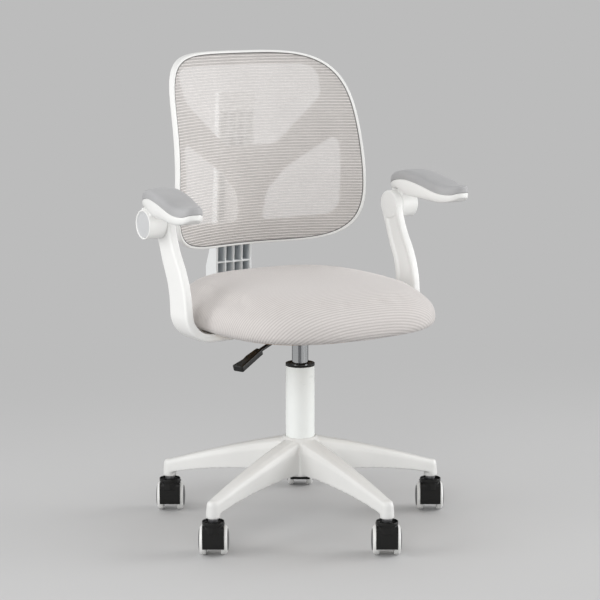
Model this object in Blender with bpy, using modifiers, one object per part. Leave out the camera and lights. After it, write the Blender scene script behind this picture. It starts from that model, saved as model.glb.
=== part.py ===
"""Children's swivel desk chair: castor base, gas lift, cushioned seat, framed mesh back and flip-up arms.

The chair faces -Y and stands on z = 0, with the gas lift on the Z axis. Lengths are in metres.
"""
import math

import bmesh
import bpy
from mathutils import Matrix, Vector

# Clearances
GAP = 0.0003
STOP_GAP = 0.002
OVER = 0.01
MERGE = 0.00001

# Castors
CASTOR_TURN = math.radians(-33)
WHEEL_RADIUS = 0.0252
WHEEL_SIDES = 20
TREAD_WIDTH = 0.0103
WHEEL_DOME = 0.0035
WHEEL_FACE_RADIUS = 0.0175
WHEEL_SIDE_GAP = 0.0005
FORK_WIDTH = 0.0224
CASTOR_TRAIL = 0.015
FENDER_WIDTH = 0.036
FENDER_WALL = 0.0023
FENDER_CLEARANCE = 0.0010
FENDER_REAR_ANGLE = 62
FENDER_FRONT_ANGLE = 200
HOOD_CORNER = 0.006
AXLE_RADIUS = 0.003
AXLE_BOSS_RADIUS = 0.011
AXLE_REACH = 0.010
COLLAR_RADIUS = 0.0183
COLLAR_HEIGHT = 0.0055
COLLAR_GROOVE = 0.0016
CUP_RADIUS = 0.0146
CUP_DEPTH = 0.0015
COLLAR_RISE = 0.0078
STEM_RADIUS = 0.0055
STEM_FLANGE_RADIUS = 0.0085
STEM_FLANGE_HEIGHT = 0.0053
STEM_SOCKET_DEPTH = 0.020
STEM_HOOD_DEPTH = 0.015

# Five-legged base
LEG_COUNT = 5
BASE_TURN = math.radians(-87)
STEM_CIRCLE_RADIUS = 0.242
LEG_ROOT_WIDTH = 0.050
LEG_TIP_WIDTH = 0.0235
LEG_ROOT_DEPTH = 0.061
LEG_TIP_DEPTH = 0.023
LEG_TIP_HEIGHT = 0.0299
LEG_WALL = 0.0035
LEG_RIB = 0.003
LEG_POCKET_START = 0.060
LEG_POCKET_END_MARGIN = 0.024
LEG_BOSS_GROWTH = 1.015
HUB_RISE = 0.0924
HUB_WALL = 0.0025
HUB_FLARE = 0.0145
HUB_SKIRT = 0.004

# Gas lift
TUBE_RADIUS = 0.025
TUBE_WALL = 0.0015
TUBE_TAPER = 0.0012
TUBE_EXPOSED = 0.122
TUBE_FLOOR_RECESS = 0.006
TUBE_FLOOR = 0.004
BUSH_FLANGE_HEIGHT = 0.004
BUSH_LENGTH = 0.070
ROD_RADIUS = 0.005
CLIP_RADIUS = 0.009
CLIP_HEIGHT = 0.002
BEARING_RADIUS = 0.013
BEARING_HEIGHT = 0.006
SHOULDER_RADIUS = 0.009
SHOULDER_HEIGHT = 0.004
PISTON_HEIGHT = 0.010
CYLINDER_RADIUS = 0.014
CYLINDER_WALL = 0.002
CYLINDER_TAPER = 0.0008
GLAND_HEIGHT = 0.012
LIFT_DOWN = 0.028
LIFT_UP = 0.072
CHROME_EXPOSED = 0.0405
VALVE_RADIUS = 0.004
VALVE_PROUD = 0.006
VALVE_LENGTH = 0.032

# Mechanism under the seat
SOCKET_DROP = 0.008
SOCKET_WALL = 0.0047
SOCKET_HEIGHT = 0.014
PAN_DEPTH = 0.0247
PAN_HALF = 0.050
PAN_WALL = 0.003
FLANGE_LENGTH = 0.172
FLANGE_BREADTH = 0.150
FLANGE_EDGE = 0.014
FLANGE_CORNER = 0.016

# Height lever
LEVER_TURN = math.radians(199.6)
LEVER_FINGER = 0.030
LEVER_ROD_RADIUS = 0.0035
LEVER_PIVOT_RADIUS = 0.005
LEVER_PIVOT_LENGTH = 0.016
LEVER_REACH = 0.092
LEVER_DROP = 0.021
LEVER_SLOT_WIDTH = 0.013
PADDLE_LENGTH = 0.063
PADDLE_WIDTH = 0.022
PADDLE_NECK_WIDTH = 0.0125
PADDLE_THICKNESS = 0.011
PADDLE_SOCKET = 0.012
PADDLE_SLOPE = math.radians(19)
PADDLE_EDGE = 0.0012

# Seat
SEAT_WIDTH = 0.400
SEAT_DEPTH = 0.428
SEAT_CENTRE_Y = -0.006
SEAT_POWER = 3.0
SEAT_SIDES = 44
CUSHION_LIP = 0.0005
CUSHION_HEIGHT = 0.079
CUSHION_WAIST = 0.012
CUSHION_DRAW_IN = 0.012
CUSHION_CROWN_POWER = 2.7
BOARD_THICKNESS = 0.012
BOARD_INSET = 0.018

# Backrest
BACK_CLEARANCE = 0.032
BACK_WIDTH = 0.374
BACK_HEIGHT = 0.337
BACK_POWER = 4.6
BACK_TAPER = 0.053
BACK_SIDES = 60
BACK_STANDOFF = 0.0735
LUMBAR_RISE = 0.121
LEAN_RADIUS = 0.38
WRAP_RADIUS = 0.27
RIM_WALL = 0.0038
RIM_DEPTH = 0.016
SHELL_WALL = 0.004
MESH_THICKNESS = 0.0016
MESH_RECESS = 0.0012
TOP_FLANGE = 0.026
BOTTOM_FLANGE = 0.042
SIDE_FLANGE = 0.030
SHOULDER_FLANGE = 0.049
STEM_WIDTH = 0.052
FORK_RISE = 0.176
LOWER_WINDOW_RISE = 0.192
SPINE_WIDTH = 0.046
FORK_HALF_WIDTH = 0.050
SHOULDER_DROP = 0.080
ELBOW_OUT = 0.038
ELBOW_DROP = 0.062
STEM_FLARE = 0.004
STEM_FLARE_DROP = 0.100
LOWER_TILT = 0.006

# Back bar
BAR_CLEARANCE = 0.0095
BAR_WIDTH = 0.074
BAR_LEAN = 0.015
BAR_TOP_RISE = 0.266
BAR_TOP_DEPTH = 0.012
BAR_NECK_DEPTH = 0.0175
BAR_BEND_DEPTH = 0.038
BAR_BEND_RADIUS = 0.045
BAR_BEND_DROP = 0.012
BAR_SHOULDER_DROP = 0.015
BAR_FOOT_REACH = 0.125
BAR_FOOT_DEPTH = 0.009
BAR_SIDE_WALL = 0.004
BAR_RIB = 0.0022
BAR_SKIN = 0.005
BAR_COLUMNS = 4
BAR_ROW_PITCH = 0.045
BAR_FIRST_RIB_RISE = 0.073

# Arms
ARM_CLEARANCE = 0.0235
POST_THICKNESS = 0.014
POST_WIDTH = 0.056
POST_WAIST_WIDTH = 0.0445
POST_BEND = 0.042
POST_EDGE = 0.007
POST_ROUND = 0.005
POST_RECESS = 0.0025
CHANNEL_SLOPE = 0.004
PIVOT_Y = 0.057
PIVOT_RISE = 0.1785
KNUCKLE_RADIUS = 0.0245
KNUCKLE_PROUD = 0.0006
BARREL_LENGTH = 0.033
BARREL_NECK_WIDTH = 0.040
PIVOT_BOLT_RADIUS = 0.005
PIVOT_HEAD_RADIUS = 0.009
PIVOT_HEAD_HEIGHT = 0.005
PIVOT_BLIND_WALL = 0.002
CAP_RADIUS = 0.0215
CAP_THICKNESS = 0.0025
CAP_RECESS = 0.0006
FOOT_END = 0.004
ARM_BOLT_INSET = 0.0117
ARM_LENGTH = 0.180
ARM_REAR = 0.016
ARM_WIDTH = 0.0585
ARM_OFFSET = 0.0125
ARM_TOE_OUT = math.radians(5)
ARM_POWER = 2.6
PAD_THICKNESS = 0.016
NECK_START = 0.04
NECK_SHARE = 0.90
# Set-back of the post as a share of its pivot's, from the pivot (0) down to the foot (1)
POST_SWEEP = ((0.0, 1.0), (0.16, 0.80), (0.31, 0.585), (0.455, 0.32), (0.60, 0.15), (0.75, 0.075),
              (1.0, 0.035))
# Height of the pad's seam over the pivot, from the rear end (0) to the front tip (1)
ARM_WAVE = ((0.0, 0.034), (0.16, 0.044), (0.33, 0.0475), (0.55, 0.0415), (0.78, 0.031), (0.92, 0.0295),
            (1.0, 0.034))
# Depth of the moulded body under that seam
ARM_DEPTH = ((0.0, 0.007), (0.14, 0.0140), (0.33, 0.0285), (0.55, 0.0245), (0.80, 0.0162), (1.0, 0.009))

# Bolts into the seat board
BOLT_RADIUS = 0.003
BOLT_HEAD_RADIUS = 0.0058
BOLT_HEAD_HEIGHT = 0.0034
BOLT_SIDES = 8
BOLT_BITE = 0.009
ARM_BOLT_SPACING = 0.034

# Heights and places that follow from the sizes above
axle_height = WHEEL_RADIUS * math.cos(math.pi / WHEEL_SIDES)
fender_inner = WHEEL_RADIUS + FENDER_CLEARANCE
fender_outer = fender_inner + FENDER_WALL
hood_top = axle_height + fender_outer + COLLAR_RISE
cup_floor = hood_top - CUP_DEPTH
leg_bottom = cup_floor + STEM_FLANGE_HEIGHT + 2 * GAP
leg_tip_top = leg_bottom + LEG_TIP_HEIGHT
hub_top = leg_bottom + HUB_RISE
hub_bottom = hub_top - LEG_ROOT_DEPTH - HUB_SKIRT
tube_bottom = hub_bottom + 0.5 * HUB_SKIRT
tube_top = hub_top + TUBE_EXPOSED
floor_bottom = tube_bottom + TUBE_FLOOR_RECESS
floor_top = floor_bottom + TUBE_FLOOR
bearing_top = floor_top + GAP + BEARING_HEIGHT
shoulder_top = bearing_top + GAP + SHOULDER_HEIGHT
bush_top = tube_top + GAP + BUSH_FLANGE_HEIGHT
cylinder_bottom = shoulder_top + LIFT_DOWN + STOP_GAP
piston_bottom = cylinder_bottom + GLAND_HEIGHT + LIFT_UP + STOP_GAP
chamber_top = piston_bottom + PISTON_HEIGHT + LIFT_DOWN + STOP_GAP
socket_bottom = bush_top + CHROME_EXPOSED
socket_top = socket_bottom + SOCKET_HEIGHT
cylinder_top = socket_top + STOP_GAP
valve_top = cylinder_top + VALVE_PROUD
pan_bottom = socket_bottom + SOCKET_DROP
flange_top = pan_bottom + PAN_DEPTH
board_bottom = flange_top + GAP
board_top = board_bottom + BOARD_THICKNESS
cushion_bottom = board_bottom + CUSHION_LIP
cushion_top = cushion_bottom + CUSHION_HEIGHT
seat_rear = SEAT_CENTRE_Y + SEAT_DEPTH / 2
bar_front = seat_rear + BAR_CLEARANCE
back_bottom = cushion_top + BACK_CLEARANCE
back_top = back_bottom + BACK_HEIGHT
back_centre = back_bottom + BACK_HEIGHT / 2
lumbar_z = back_bottom + LUMBAR_RISE
lumbar_y = bar_front - BACK_STANDOFF
post_inner = max(SEAT_WIDTH, BACK_WIDTH * (1 + BACK_TAPER)) / 2 + ARM_CLEARANCE
post_outer = post_inner + POST_THICKNESS
pivot_z = board_bottom + PIVOT_RISE
barrel_inner = post_outer + KNUCKLE_PROUD + GAP
barrel_outer = barrel_inner + BARREL_LENGTH
arm_bolt_x = SEAT_WIDTH / 2 - BOARD_INSET - ARM_BOLT_INSET
foot_end = arm_bolt_x - ARM_BOLT_SPACING - BOLT_HEAD_RADIUS - FOOT_END
foot_y = POST_SWEEP[-1][1] * PIVOT_Y
arm_x = barrel_inner + ARM_OFFSET

PARTS = bpy.data.collections.new("kids_desk_chair")
CUTTERS = bpy.data.collections.new("cutters")
FRONT_PLANE = Matrix(((1, 0, 0, 0), (0, 0, -1, 0), (0, 1, 0, 0), (0, 0, 0, 1)))
SIDE_PLANE = Matrix(((0, 0, 1, 0), (1, 0, 0, 0), (0, 1, 0, 0), (0, 0, 0, 1)))
PLAN = Matrix.Identity(4)
FINISHES = {}


def clear_scene():
    for old in list(bpy.data.objects):
        bpy.data.objects.remove(old, do_unlink=True)
    for collection in (PARTS, CUTTERS):
        bpy.context.scene.collection.children.link(collection)


def finish(name, colour, roughness, metallic=0.0):
    """One Principled material for a moulding, metal or fabric."""
    material = bpy.data.materials.new(name)
    material.use_nodes = True
    shader = material.node_tree.nodes["Principled BSDF"]
    shader.inputs["Base Color"].default_value = (*colour, 1.0)
    shader.inputs["Roughness"].default_value = roughness
    shader.inputs["Metallic"].default_value = metallic
    FINISHES[name] = material


def tool(mesh, name):
    """A shape that other shapes are cut by or joined with."""
    shape = bpy.data.objects.new(name, mesh)
    shape.hide_render = True
    shape.display_type = "WIRE"
    CUTTERS.objects.link(shape)
    return shape


def part(shape, name, material, parent=None, location=None, rotation=None):
    """Turn a shape into a named piece of the chair."""
    shape.name = name
    shape.hide_render = False
    shape.display_type = "TEXTURED"
    CUTTERS.objects.unlink(shape)
    PARTS.objects.link(shape)
    shape.data.name = name
    shape.data.materials.clear()
    shape.data.materials.append(FINISHES[material])
    if parent is not None:
        shape.parent = parent
    if location is not None:
        shape.location = location
    if rotation is not None:
        shape.rotation_euler = rotation
    return shape


def copy_part(source, name, parent=None, location=None, rotation=None):
    twin = bpy.data.objects.new(name, source.data)
    PARTS.objects.link(twin)
    if parent is not None:
        twin.parent = parent
    if location is not None:
        twin.location = location
    if rotation is not None:
        twin.rotation_euler = rotation
    return twin


def joint_frame(name, location, turn=0.0):
    """An empty on a joint's axis."""
    empty = bpy.data.objects.new(name, None)
    empty.location = location
    empty.rotation_euler = (0, 0, turn)
    PARTS.objects.link(empty)
    return empty


def closed_mesh(bm, name):
    bmesh.ops.remove_doubles(bm, verts=bm.verts, dist=0.1 * MERGE)
    bmesh.ops.recalc_face_normals(bm, faces=bm.faces)
    mesh = bpy.data.meshes.new(name)
    bm.to_mesh(mesh)
    bm.free()
    mesh.shade_smooth()
    mesh.set_sharp_from_angle(angle=math.radians(40))
    return mesh


def settled(shape):
    """The shape with its modifiers or curve settings turned into a plain closed mesh."""
    bpy.context.view_layer.update()
    evaluated = shape.evaluated_get(bpy.context.evaluated_depsgraph_get())
    bm = bmesh.new()
    bm.from_mesh(bpy.data.meshes.new_from_object(evaluated))
    bm.transform(shape.matrix_world)
    result = tool(closed_mesh(bm, shape.name), shape.name + "_settled")
    bpy.data.objects.remove(shape, do_unlink=True)
    return result


def loft(name, rings):
    """A closed skin through rings of equal point counts, capped at both ends."""
    bm = bmesh.new()
    rows = [[bm.verts.new(point) for point in ring] for ring in rings]
    count = len(rows[0])
    for low, high in zip(rows, rows[1:]):
        for i in range(count):
            j = (i + 1) % count
            bm.faces.new((low[i], low[j], high[j], high[i]))
    bm.faces.new(reversed(rows[0]))
    bm.faces.new(rows[-1])
    return tool(closed_mesh(bm, name), name)


def turned(name, profile, steps, closed=False, phase=0.0):
    """Spin a profile of (radius, z) points, listed down its outer side, round the Z axis."""
    mesh = bpy.data.meshes.new(name)
    points = [(r * math.cos(phase), r * math.sin(phase), z) for r, z in profile]
    edges = [(i, i + 1) for i in range(len(points) - 1)]
    if closed:
        edges.append((len(points) - 1, 0))
    mesh.from_pydata(points, edges, [])
    shape = tool(mesh, name)
    screw = shape.modifiers.new("spin", "SCREW")
    screw.axis = "Z"
    screw.steps = steps
    screw.render_steps = steps
    screw.use_merge_vertices = True
    screw.merge_threshold = MERGE
    screw.use_smooth_shade = True
    return shape


def drum(name, radius, low, high, steps):
    return turned(name, [(0, high), (radius, high), (radius, low), (0, low)], steps)


def across(shape, location=(0, 0, 0), side=1):
    """Lay a turned shape along X, its own +Z pointing outward on the given side."""
    shape.rotation_euler = (0, side * math.pi / 2, 0)
    shape.location = location
    return shape


def plate(name, loop, start, end, plane):
    """Fill a flat outline and give it thickness from start to end along the plane's normal."""
    curve = bpy.data.curves.new(name, "CURVE")
    curve.dimensions = "2D"
    curve.fill_mode = "BOTH"
    curve.extrude = abs(end - start) / 2
    spline = curve.splines.new("POLY")
    spline.points.add(len(loop) - 1)
    for point, (u, v) in zip(spline.points, loop):
        point.co = (u, v, 0, 1)
    spline.use_cyclic_u = True
    shape = tool(curve, name)
    normal = Vector((abs(plane[0][2]), abs(plane[1][2]), abs(plane[2][2])))
    shape.matrix_world = Matrix.Translation(normal * (start + end) / 2) @ plane
    return settled(shape)


def block(name, low, high):
    bm = bmesh.new()
    bmesh.ops.create_cube(bm, size=1.0)
    size = [b - a for a, b in zip(low, high)]
    middle = [(a + b) / 2 for a, b in zip(low, high)]
    bmesh.ops.scale(bm, verts=bm.verts, vec=size)
    bmesh.ops.translate(bm, verts=bm.verts, vec=middle)
    return tool(closed_mesh(bm, name), name)


def merged(name, shapes):
    """Several shapes that don't touch, gathered into one tool."""
    bm = bmesh.new()
    for shape in shapes:
        bpy.context.view_layer.update()
        evaluated = shape.evaluated_get(bpy.context.evaluated_depsgraph_get())
        mesh = bpy.data.meshes.new_from_object(evaluated)
        mesh.transform(shape.matrix_world)
        bm.from_mesh(mesh)
        bpy.data.objects.remove(shape, do_unlink=True)
    return tool(closed_mesh(bm, name), name)


def combine(target, other, operation):
    modifier = target.modifiers.new(other.name, "BOOLEAN")
    modifier.operation = operation
    modifier.solver = "EXACT"
    modifier.object = other
    return target


def join(target, other):
    return combine(target, other, "UNION")


def cut(target, other):
    return combine(target, other, "DIFFERENCE")


def arc(centre, radius, start, end, steps):
    """Points on an arc, with angles in degrees."""
    angles = [math.radians(start + (end - start) * i / steps) for i in range(steps + 1)]
    return [(centre[0] + radius * math.cos(a), centre[1] + radius * math.sin(a)) for a in angles]


def superellipse(half_u, half_v, power, count):
    points = []
    for i in range(count):
        c = math.cos(2 * math.pi * (i + 0.5) / count)
        s = math.sin(2 * math.pi * (i + 0.5) / count)
        u = math.copysign(abs(c) ** (2 / power), c)
        v = math.copysign(abs(s) ** (2 / power), s)
        points.append((half_u * u, half_v * v))
    return points


def rounded(corners, steps=4):
    """A polygon of (u, v, radius) corners with each corner rounded, as far as its edges allow."""
    points = []
    count = len(corners)
    for i, (u, v, radius) in enumerate(corners):
        here = Vector((u, v))
        to_last = Vector(corners[i - 1][:2]) - here
        to_next = Vector(corners[(i + 1) % count][:2]) - here
        half = to_last.angle(to_next) / 2
        trim = min(radius / math.tan(half), 0.45 * to_last.length, 0.45 * to_next.length)
        first = here + to_last.normalized() * trim
        last = here + to_next.normalized() * trim
        for k in range(steps + 1):
            t = k / steps
            point = first * (1 - t) ** 2 + here * 2 * t * (1 - t) + last * t ** 2
            points.append((point.x, point.y))
    return points


def inset(loop, amount):
    """A loop, listed anticlockwise, with each point moved inwards."""
    points = []
    for i, (u, v) in enumerate(loop):
        last, following = Vector(loop[i - 1]), Vector(loop[(i + 1) % len(loop)])
        along = (following - last).normalized()
        points.append((u - amount * along.y, v + amount * along.x))
    return points


def through(table, u):
    """A smooth value at u through a table of (position, value) rows."""
    last = len(table) - 1
    i = max(k for k in range(last) if table[k][0] <= u or k == 0)
    (u0, a), (u1, b) = table[i], table[i + 1]

    def slope(k):
        low, high = table[max(k - 1, 0)], table[min(k + 1, last)]
        return (high[1] - low[1]) / (high[0] - low[0])

    span = u1 - u0
    t = (u - u0) / span
    start = (2 * t ** 3 - 3 * t ** 2 + 1) * a + (t ** 3 - 2 * t ** 2 + t) * span * slope(i)
    end = (3 * t ** 2 - 2 * t ** 3) * b + (t ** 3 - t ** 2) * span * slope(i + 1)
    return start + end


def make_finishes():
    finish("white_moulding", (0.84, 0.84, 0.83), 0.38)
    finish("white_paint", (0.85, 0.85, 0.84), 0.30)
    finish("black_moulding", (0.012, 0.012, 0.012), 0.45)
    finish("chrome_steel", (0.75, 0.75, 0.76), 0.10, 1.0)
    finish("dark_steel", (0.10, 0.10, 0.11), 0.40, 1.0)
    finish("seat_fabric", (0.64, 0.60, 0.58), 0.90)
    finish("back_mesh_fabric", (0.60, 0.57, 0.55), 0.85)
    finish("arm_pad_foam", (0.45, 0.45, 0.45), 0.65)
    finish("grey_cap", (0.60, 0.60, 0.60), 0.50)
    finish("board_wood", (0.45, 0.32, 0.20), 0.70)
    finish("wheel_white", (0.80, 0.80, 0.79), 0.45)


def leg_top(r):
    return leg_tip_top + (hub_top - leg_tip_top) * (1 - (r / STEM_CIRCLE_RADIUS) ** 1.25)


def leg_underside(r):
    tip = leg_tip_top - LEG_TIP_DEPTH
    root = hub_top - LEG_ROOT_DEPTH
    return root + (tip - root) * (r / STEM_CIRCLE_RADIUS) ** 2.5


def leg_half_width(r):
    return (LEG_ROOT_WIDTH + (LEG_TIP_WIDTH - LEG_ROOT_WIDTH) * r / STEM_CIRCLE_RADIUS) / 2


def leg_section(r):
    """Drafted sides and a crowned top, square to the leg."""
    w, low, high = leg_half_width(r), leg_underside(r), leg_top(r)
    depth = high - low
    half = [(w, low), (0.90 * w, high - 0.30 * depth), (0.74 * w, high - 0.08 * depth), (0.40 * w, high)]
    return [(r, u, z) for u, z in half] + [(r, -u, z) for u, z in reversed(half)]


def leg_pocket(name, start, end):
    """The hollow under a leg between two cross ribs."""
    rings = []
    for k in range(3):
        r = start + (end - start) * k / 2
        w = leg_half_width(r) - LEG_WALL
        high = leg_top(r) - 2 * LEG_WALL
        low = leg_underside(r) - LEG_WALL
        rings.append([(r, w, low), (r, 0.78 * w, high), (r, -0.78 * w, high), (r, -w, low)])
    return loft(name, rings)


def make_base():
    stations = [STEM_CIRCLE_RADIUS * k / 6 for k in range(7)]
    leg = loft("leg", [leg_section(r) for r in stations])
    boss_half = [(LEG_BOSS_GROWTH * u, z) for r, u, z in leg_section(STEM_CIRCLE_RADIUS) if u > 0]
    boss_radius = boss_half[0][0]
    boss_profile = [(0, leg_tip_top)] + boss_half[::-1] + [(boss_radius, leg_bottom), (0, leg_bottom)]
    boss = turned("leg_boss", boss_profile, 16)
    boss.location.x = STEM_CIRCLE_RADIUS
    pocket_end = STEM_CIRCLE_RADIUS - LEG_POCKET_END_MARGIN
    pocket_middle = (LEG_POCKET_START + pocket_end) / 2
    inner = leg_pocket("inner_pocket", LEG_POCKET_START, pocket_middle - LEG_RIB / 2)
    outer = leg_pocket("outer_pocket", pocket_middle + LEG_RIB / 2, pocket_end)
    socket = drum("stem_socket", STEM_RADIUS + GAP, leg_bottom - OVER, leg_bottom + STEM_SOCKET_DEPTH, 12)
    socket.location.x = STEM_CIRCLE_RADIUS
    join(leg, boss)
    cut(leg, merged("leg_hollows", [inner, outer, socket]))
    leg = settled(leg)
    bore_top = TUBE_RADIUS + GAP
    bore_low = bore_top - TUBE_TAPER
    hub_radius = bore_top + HUB_WALL
    hub_profile = [(0, hub_top), (hub_radius, hub_top), (hub_radius + 0.22 * HUB_FLARE, hub_top - 0.006)]
    hub_profile += [(hub_radius + 0.6 * HUB_FLARE, hub_top - 0.026), (hub_radius + HUB_FLARE, hub_bottom)]
    hub_profile.append((0, hub_bottom))
    base = turned("hub", hub_profile, 30)
    for k in range(LEG_COUNT):
        spoke = tool(leg.data, "spoke")
        spoke.rotation_euler.z = BASE_TURN + k * 2 * math.pi / LEG_COUNT
        join(base, spoke)
    slope = TUBE_TAPER / (hub_top - hub_bottom)
    bore = [(0, hub_top + OVER), (bore_top + slope * OVER, hub_top + OVER)]
    bore += [(bore_low - slope * OVER, hub_bottom - OVER), (0, hub_bottom - OVER)]
    cut(base, turned("taper_bore", bore, 30))
    part(settled(base), "star_base", "white_moulding")


def make_column():
    slope = TUBE_TAPER / (hub_top - hub_bottom)
    inside = TUBE_RADIUS - TUBE_WALL - TUBE_TAPER
    low_radius = TUBE_RADIUS - slope * (hub_top - tube_bottom)
    rod_hole = ROD_RADIUS + GAP
    tube = [(inside, tube_top), (TUBE_RADIUS, tube_top), (TUBE_RADIUS, hub_top), (low_radius, tube_bottom)]
    tube += [(inside, tube_bottom), (inside, floor_bottom), (rod_hole, floor_bottom)]
    tube += [(rod_hole, floor_top), (inside, floor_top)]
    part(turned("tube", tube, 30, closed=True), "column_tube", "white_paint")
    slide = CYLINDER_RADIUS + GAP
    sleeve = inside - GAP
    dish = bush_top - 0.4 * BUSH_FLANGE_HEIGHT
    lip = TUBE_RADIUS - 0.8 * BUSH_FLANGE_HEIGHT
    bush = [(slide, dish), (lip - 0.3 * BUSH_FLANGE_HEIGHT, dish), (lip, bush_top), (TUBE_RADIUS, bush_top)]
    bush += [(TUBE_RADIUS, tube_top + GAP), (sleeve, tube_top + GAP)]
    bush += [(sleeve, tube_top - BUSH_LENGTH), (slide, tube_top - BUSH_LENGTH)]
    part(turned("bush", bush, 30, closed=True), "column_bush", "black_moulding")
    bearing = [(rod_hole, bearing_top), (BEARING_RADIUS, bearing_top), (BEARING_RADIUS, floor_top + GAP)]
    bearing += [(rod_hole, floor_top + GAP)]
    part(turned("bearing", bearing, 20, closed=True), "thrust_bearing", "dark_steel")


def make_spindle():
    clip_top = floor_bottom - GAP
    rod_bottom = clip_top - CLIP_HEIGHT - 0.001
    clip = [(rod_hole_radius(), clip_top), (CLIP_RADIUS, clip_top), (CLIP_RADIUS, clip_top - CLIP_HEIGHT)]
    clip += [(rod_hole_radius(), clip_top - CLIP_HEIGHT)]
    part(turned("clip", clip, 16, closed=True), "column_clip", "dark_steel")
    piston_radius = CYLINDER_RADIUS - CYLINDER_WALL - GAP
    piston_top = piston_bottom + PISTON_HEIGHT
    shoulder_low = bearing_top + GAP
    rod = [(0, piston_top), (piston_radius, piston_top), (piston_radius, piston_bottom)]
    rod.append((ROD_RADIUS, piston_bottom))
    rod += [(ROD_RADIUS, shoulder_top), (SHOULDER_RADIUS, shoulder_top), (SHOULDER_RADIUS, shoulder_low)]
    rod += [(ROD_RADIUS, shoulder_low), (ROD_RADIUS, rod_bottom), (0, rod_bottom)]
    part(turned("rod", rod, 16), "piston_rod", "chrome_steel")


def rod_hole_radius():
    return ROD_RADIUS + GAP


def make_lift():
    chamber = CYLINDER_RADIUS - CYLINDER_WALL
    pin_hole = VALVE_RADIUS + GAP
    neck = CYLINDER_RADIUS - CYLINDER_TAPER
    body = [(pin_hole, cylinder_top), (neck, cylinder_top), (CYLINDER_RADIUS, socket_bottom)]
    body += [(CYLINDER_RADIUS, cylinder_bottom), (rod_hole_radius(), cylinder_bottom)]
    body += [(rod_hole_radius(), cylinder_bottom + GLAND_HEIGHT), (chamber, cylinder_bottom + GLAND_HEIGHT)]
    body += [(chamber, chamber_top), (pin_hole, chamber_top)]
    part(turned("cylinder", body, 24, closed=True), "lift_cylinder", "chrome_steel")
    pin = drum("pin", VALVE_RADIUS, -VALVE_LENGTH, 0, 12)
    part(pin, "valve_button", "dark_steel", location=(0, 0, valve_top))


def flange_bolt_places():
    x = FLANGE_LENGTH / 2 - FLANGE_EDGE
    y = FLANGE_BREADTH / 2 - FLANGE_EDGE
    return [(sx * x, sy * y) for sx in (-1, 1) for sy in (-1, 1)]


def arm_bolt_places(side):
    return [(side * x, foot_y) for x in (arm_bolt_x - ARM_BOLT_SPACING, arm_bolt_x)]


def bolt_holes(name, places, low, high):
    return merged(name, [placed_drum(name, BOLT_RADIUS + GAP, low, high, place) for place in places])


def placed_drum(name, radius, low, high, place):
    shape = drum(name, radius, low, high, BOLT_SIDES)
    shape.location = (place[0], place[1], 0)
    return shape


def make_bolts(prefix, places, seat_z):
    """Bolts that clamp a flange or foot, whose underside is at seat_z, to the seat board."""
    top = board_bottom + BOLT_BITE - seat_z
    head = -GAP - BOLT_HEAD_HEIGHT
    profile = [(0, top), (BOLT_RADIUS, top), (BOLT_RADIUS, -GAP), (BOLT_HEAD_RADIUS, -GAP)]
    profile += [(BOLT_HEAD_RADIUS, head), (0, head)]
    bolt = settled(turned(prefix, profile, BOLT_SIDES))
    bolt.data.materials.append(FINISHES["dark_steel"])
    for k, place in enumerate(places, 1):
        copy_part(bolt, f"{prefix}_{k}", location=(*place, seat_z))


def lever_pivot():
    reach = LEVER_FINGER
    z = pan_bottom + PAN_WALL + GAP + LEVER_PIVOT_RADIUS
    return Vector((reach * math.cos(LEVER_TURN), reach * math.sin(LEVER_TURN), z))


def make_mechanism():
    length, breadth = FLANGE_LENGTH / 2, FLANGE_BREADTH / 2
    corners = [(length, breadth), (-length, breadth), (-length, -breadth), (length, -breadth)]
    outline = rounded([(x, y, FLANGE_CORNER) for x, y in corners], 3)
    pan = plate("flange", outline, flange_top - PAN_WALL, flange_top, PLAN)
    box_top = flange_top - PAN_WALL / 2
    join(pan, block("pan_box", (-PAN_HALF, -PAN_HALF, pan_bottom), (PAN_HALF, PAN_HALF, box_top)))
    inside = PAN_HALF - PAN_WALL
    pan_floor = pan_bottom + PAN_WALL
    cut(pan, block("pan_inside", (-inside, -inside, pan_floor), (inside, inside, flange_top + OVER)))
    socket_radius = CYLINDER_RADIUS + GAP + SOCKET_WALL
    join(pan, drum("socket", socket_radius, socket_bottom, socket_top, 24))
    low = CYLINDER_RADIUS + GAP
    taper = CYLINDER_TAPER * SOCKET_HEIGHT / (cylinder_top - socket_bottom)
    bore = [(0, socket_top + 0.004), (low - taper, socket_top + 0.004), (low - taper, socket_top)]
    bore += [(low, socket_bottom), (low, socket_bottom - 0.004), (0, socket_bottom - 0.004)]
    cut(pan, turned("socket_bore", bore, 24))
    slot_low = pan_bottom - 0.002
    slot_high = flange_top - PAN_WALL - 0.002
    half = LEVER_SLOT_WIDTH / 2
    slot = block("lever_slot", (LEVER_FINGER + 0.012, -half, slot_low), (PAN_HALF + 0.03, half, slot_high))
    slot.rotation_euler.z = LEVER_TURN
    cut(pan, slot)
    places = flange_bolt_places()
    cut(pan, bolt_holes("flange_holes", places, flange_top - OVER, flange_top + OVER))
    part(settled(pan), "mechanism_plate", "dark_steel")
    make_bolts("flange_bolt", places, flange_top - PAN_WALL)


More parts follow.
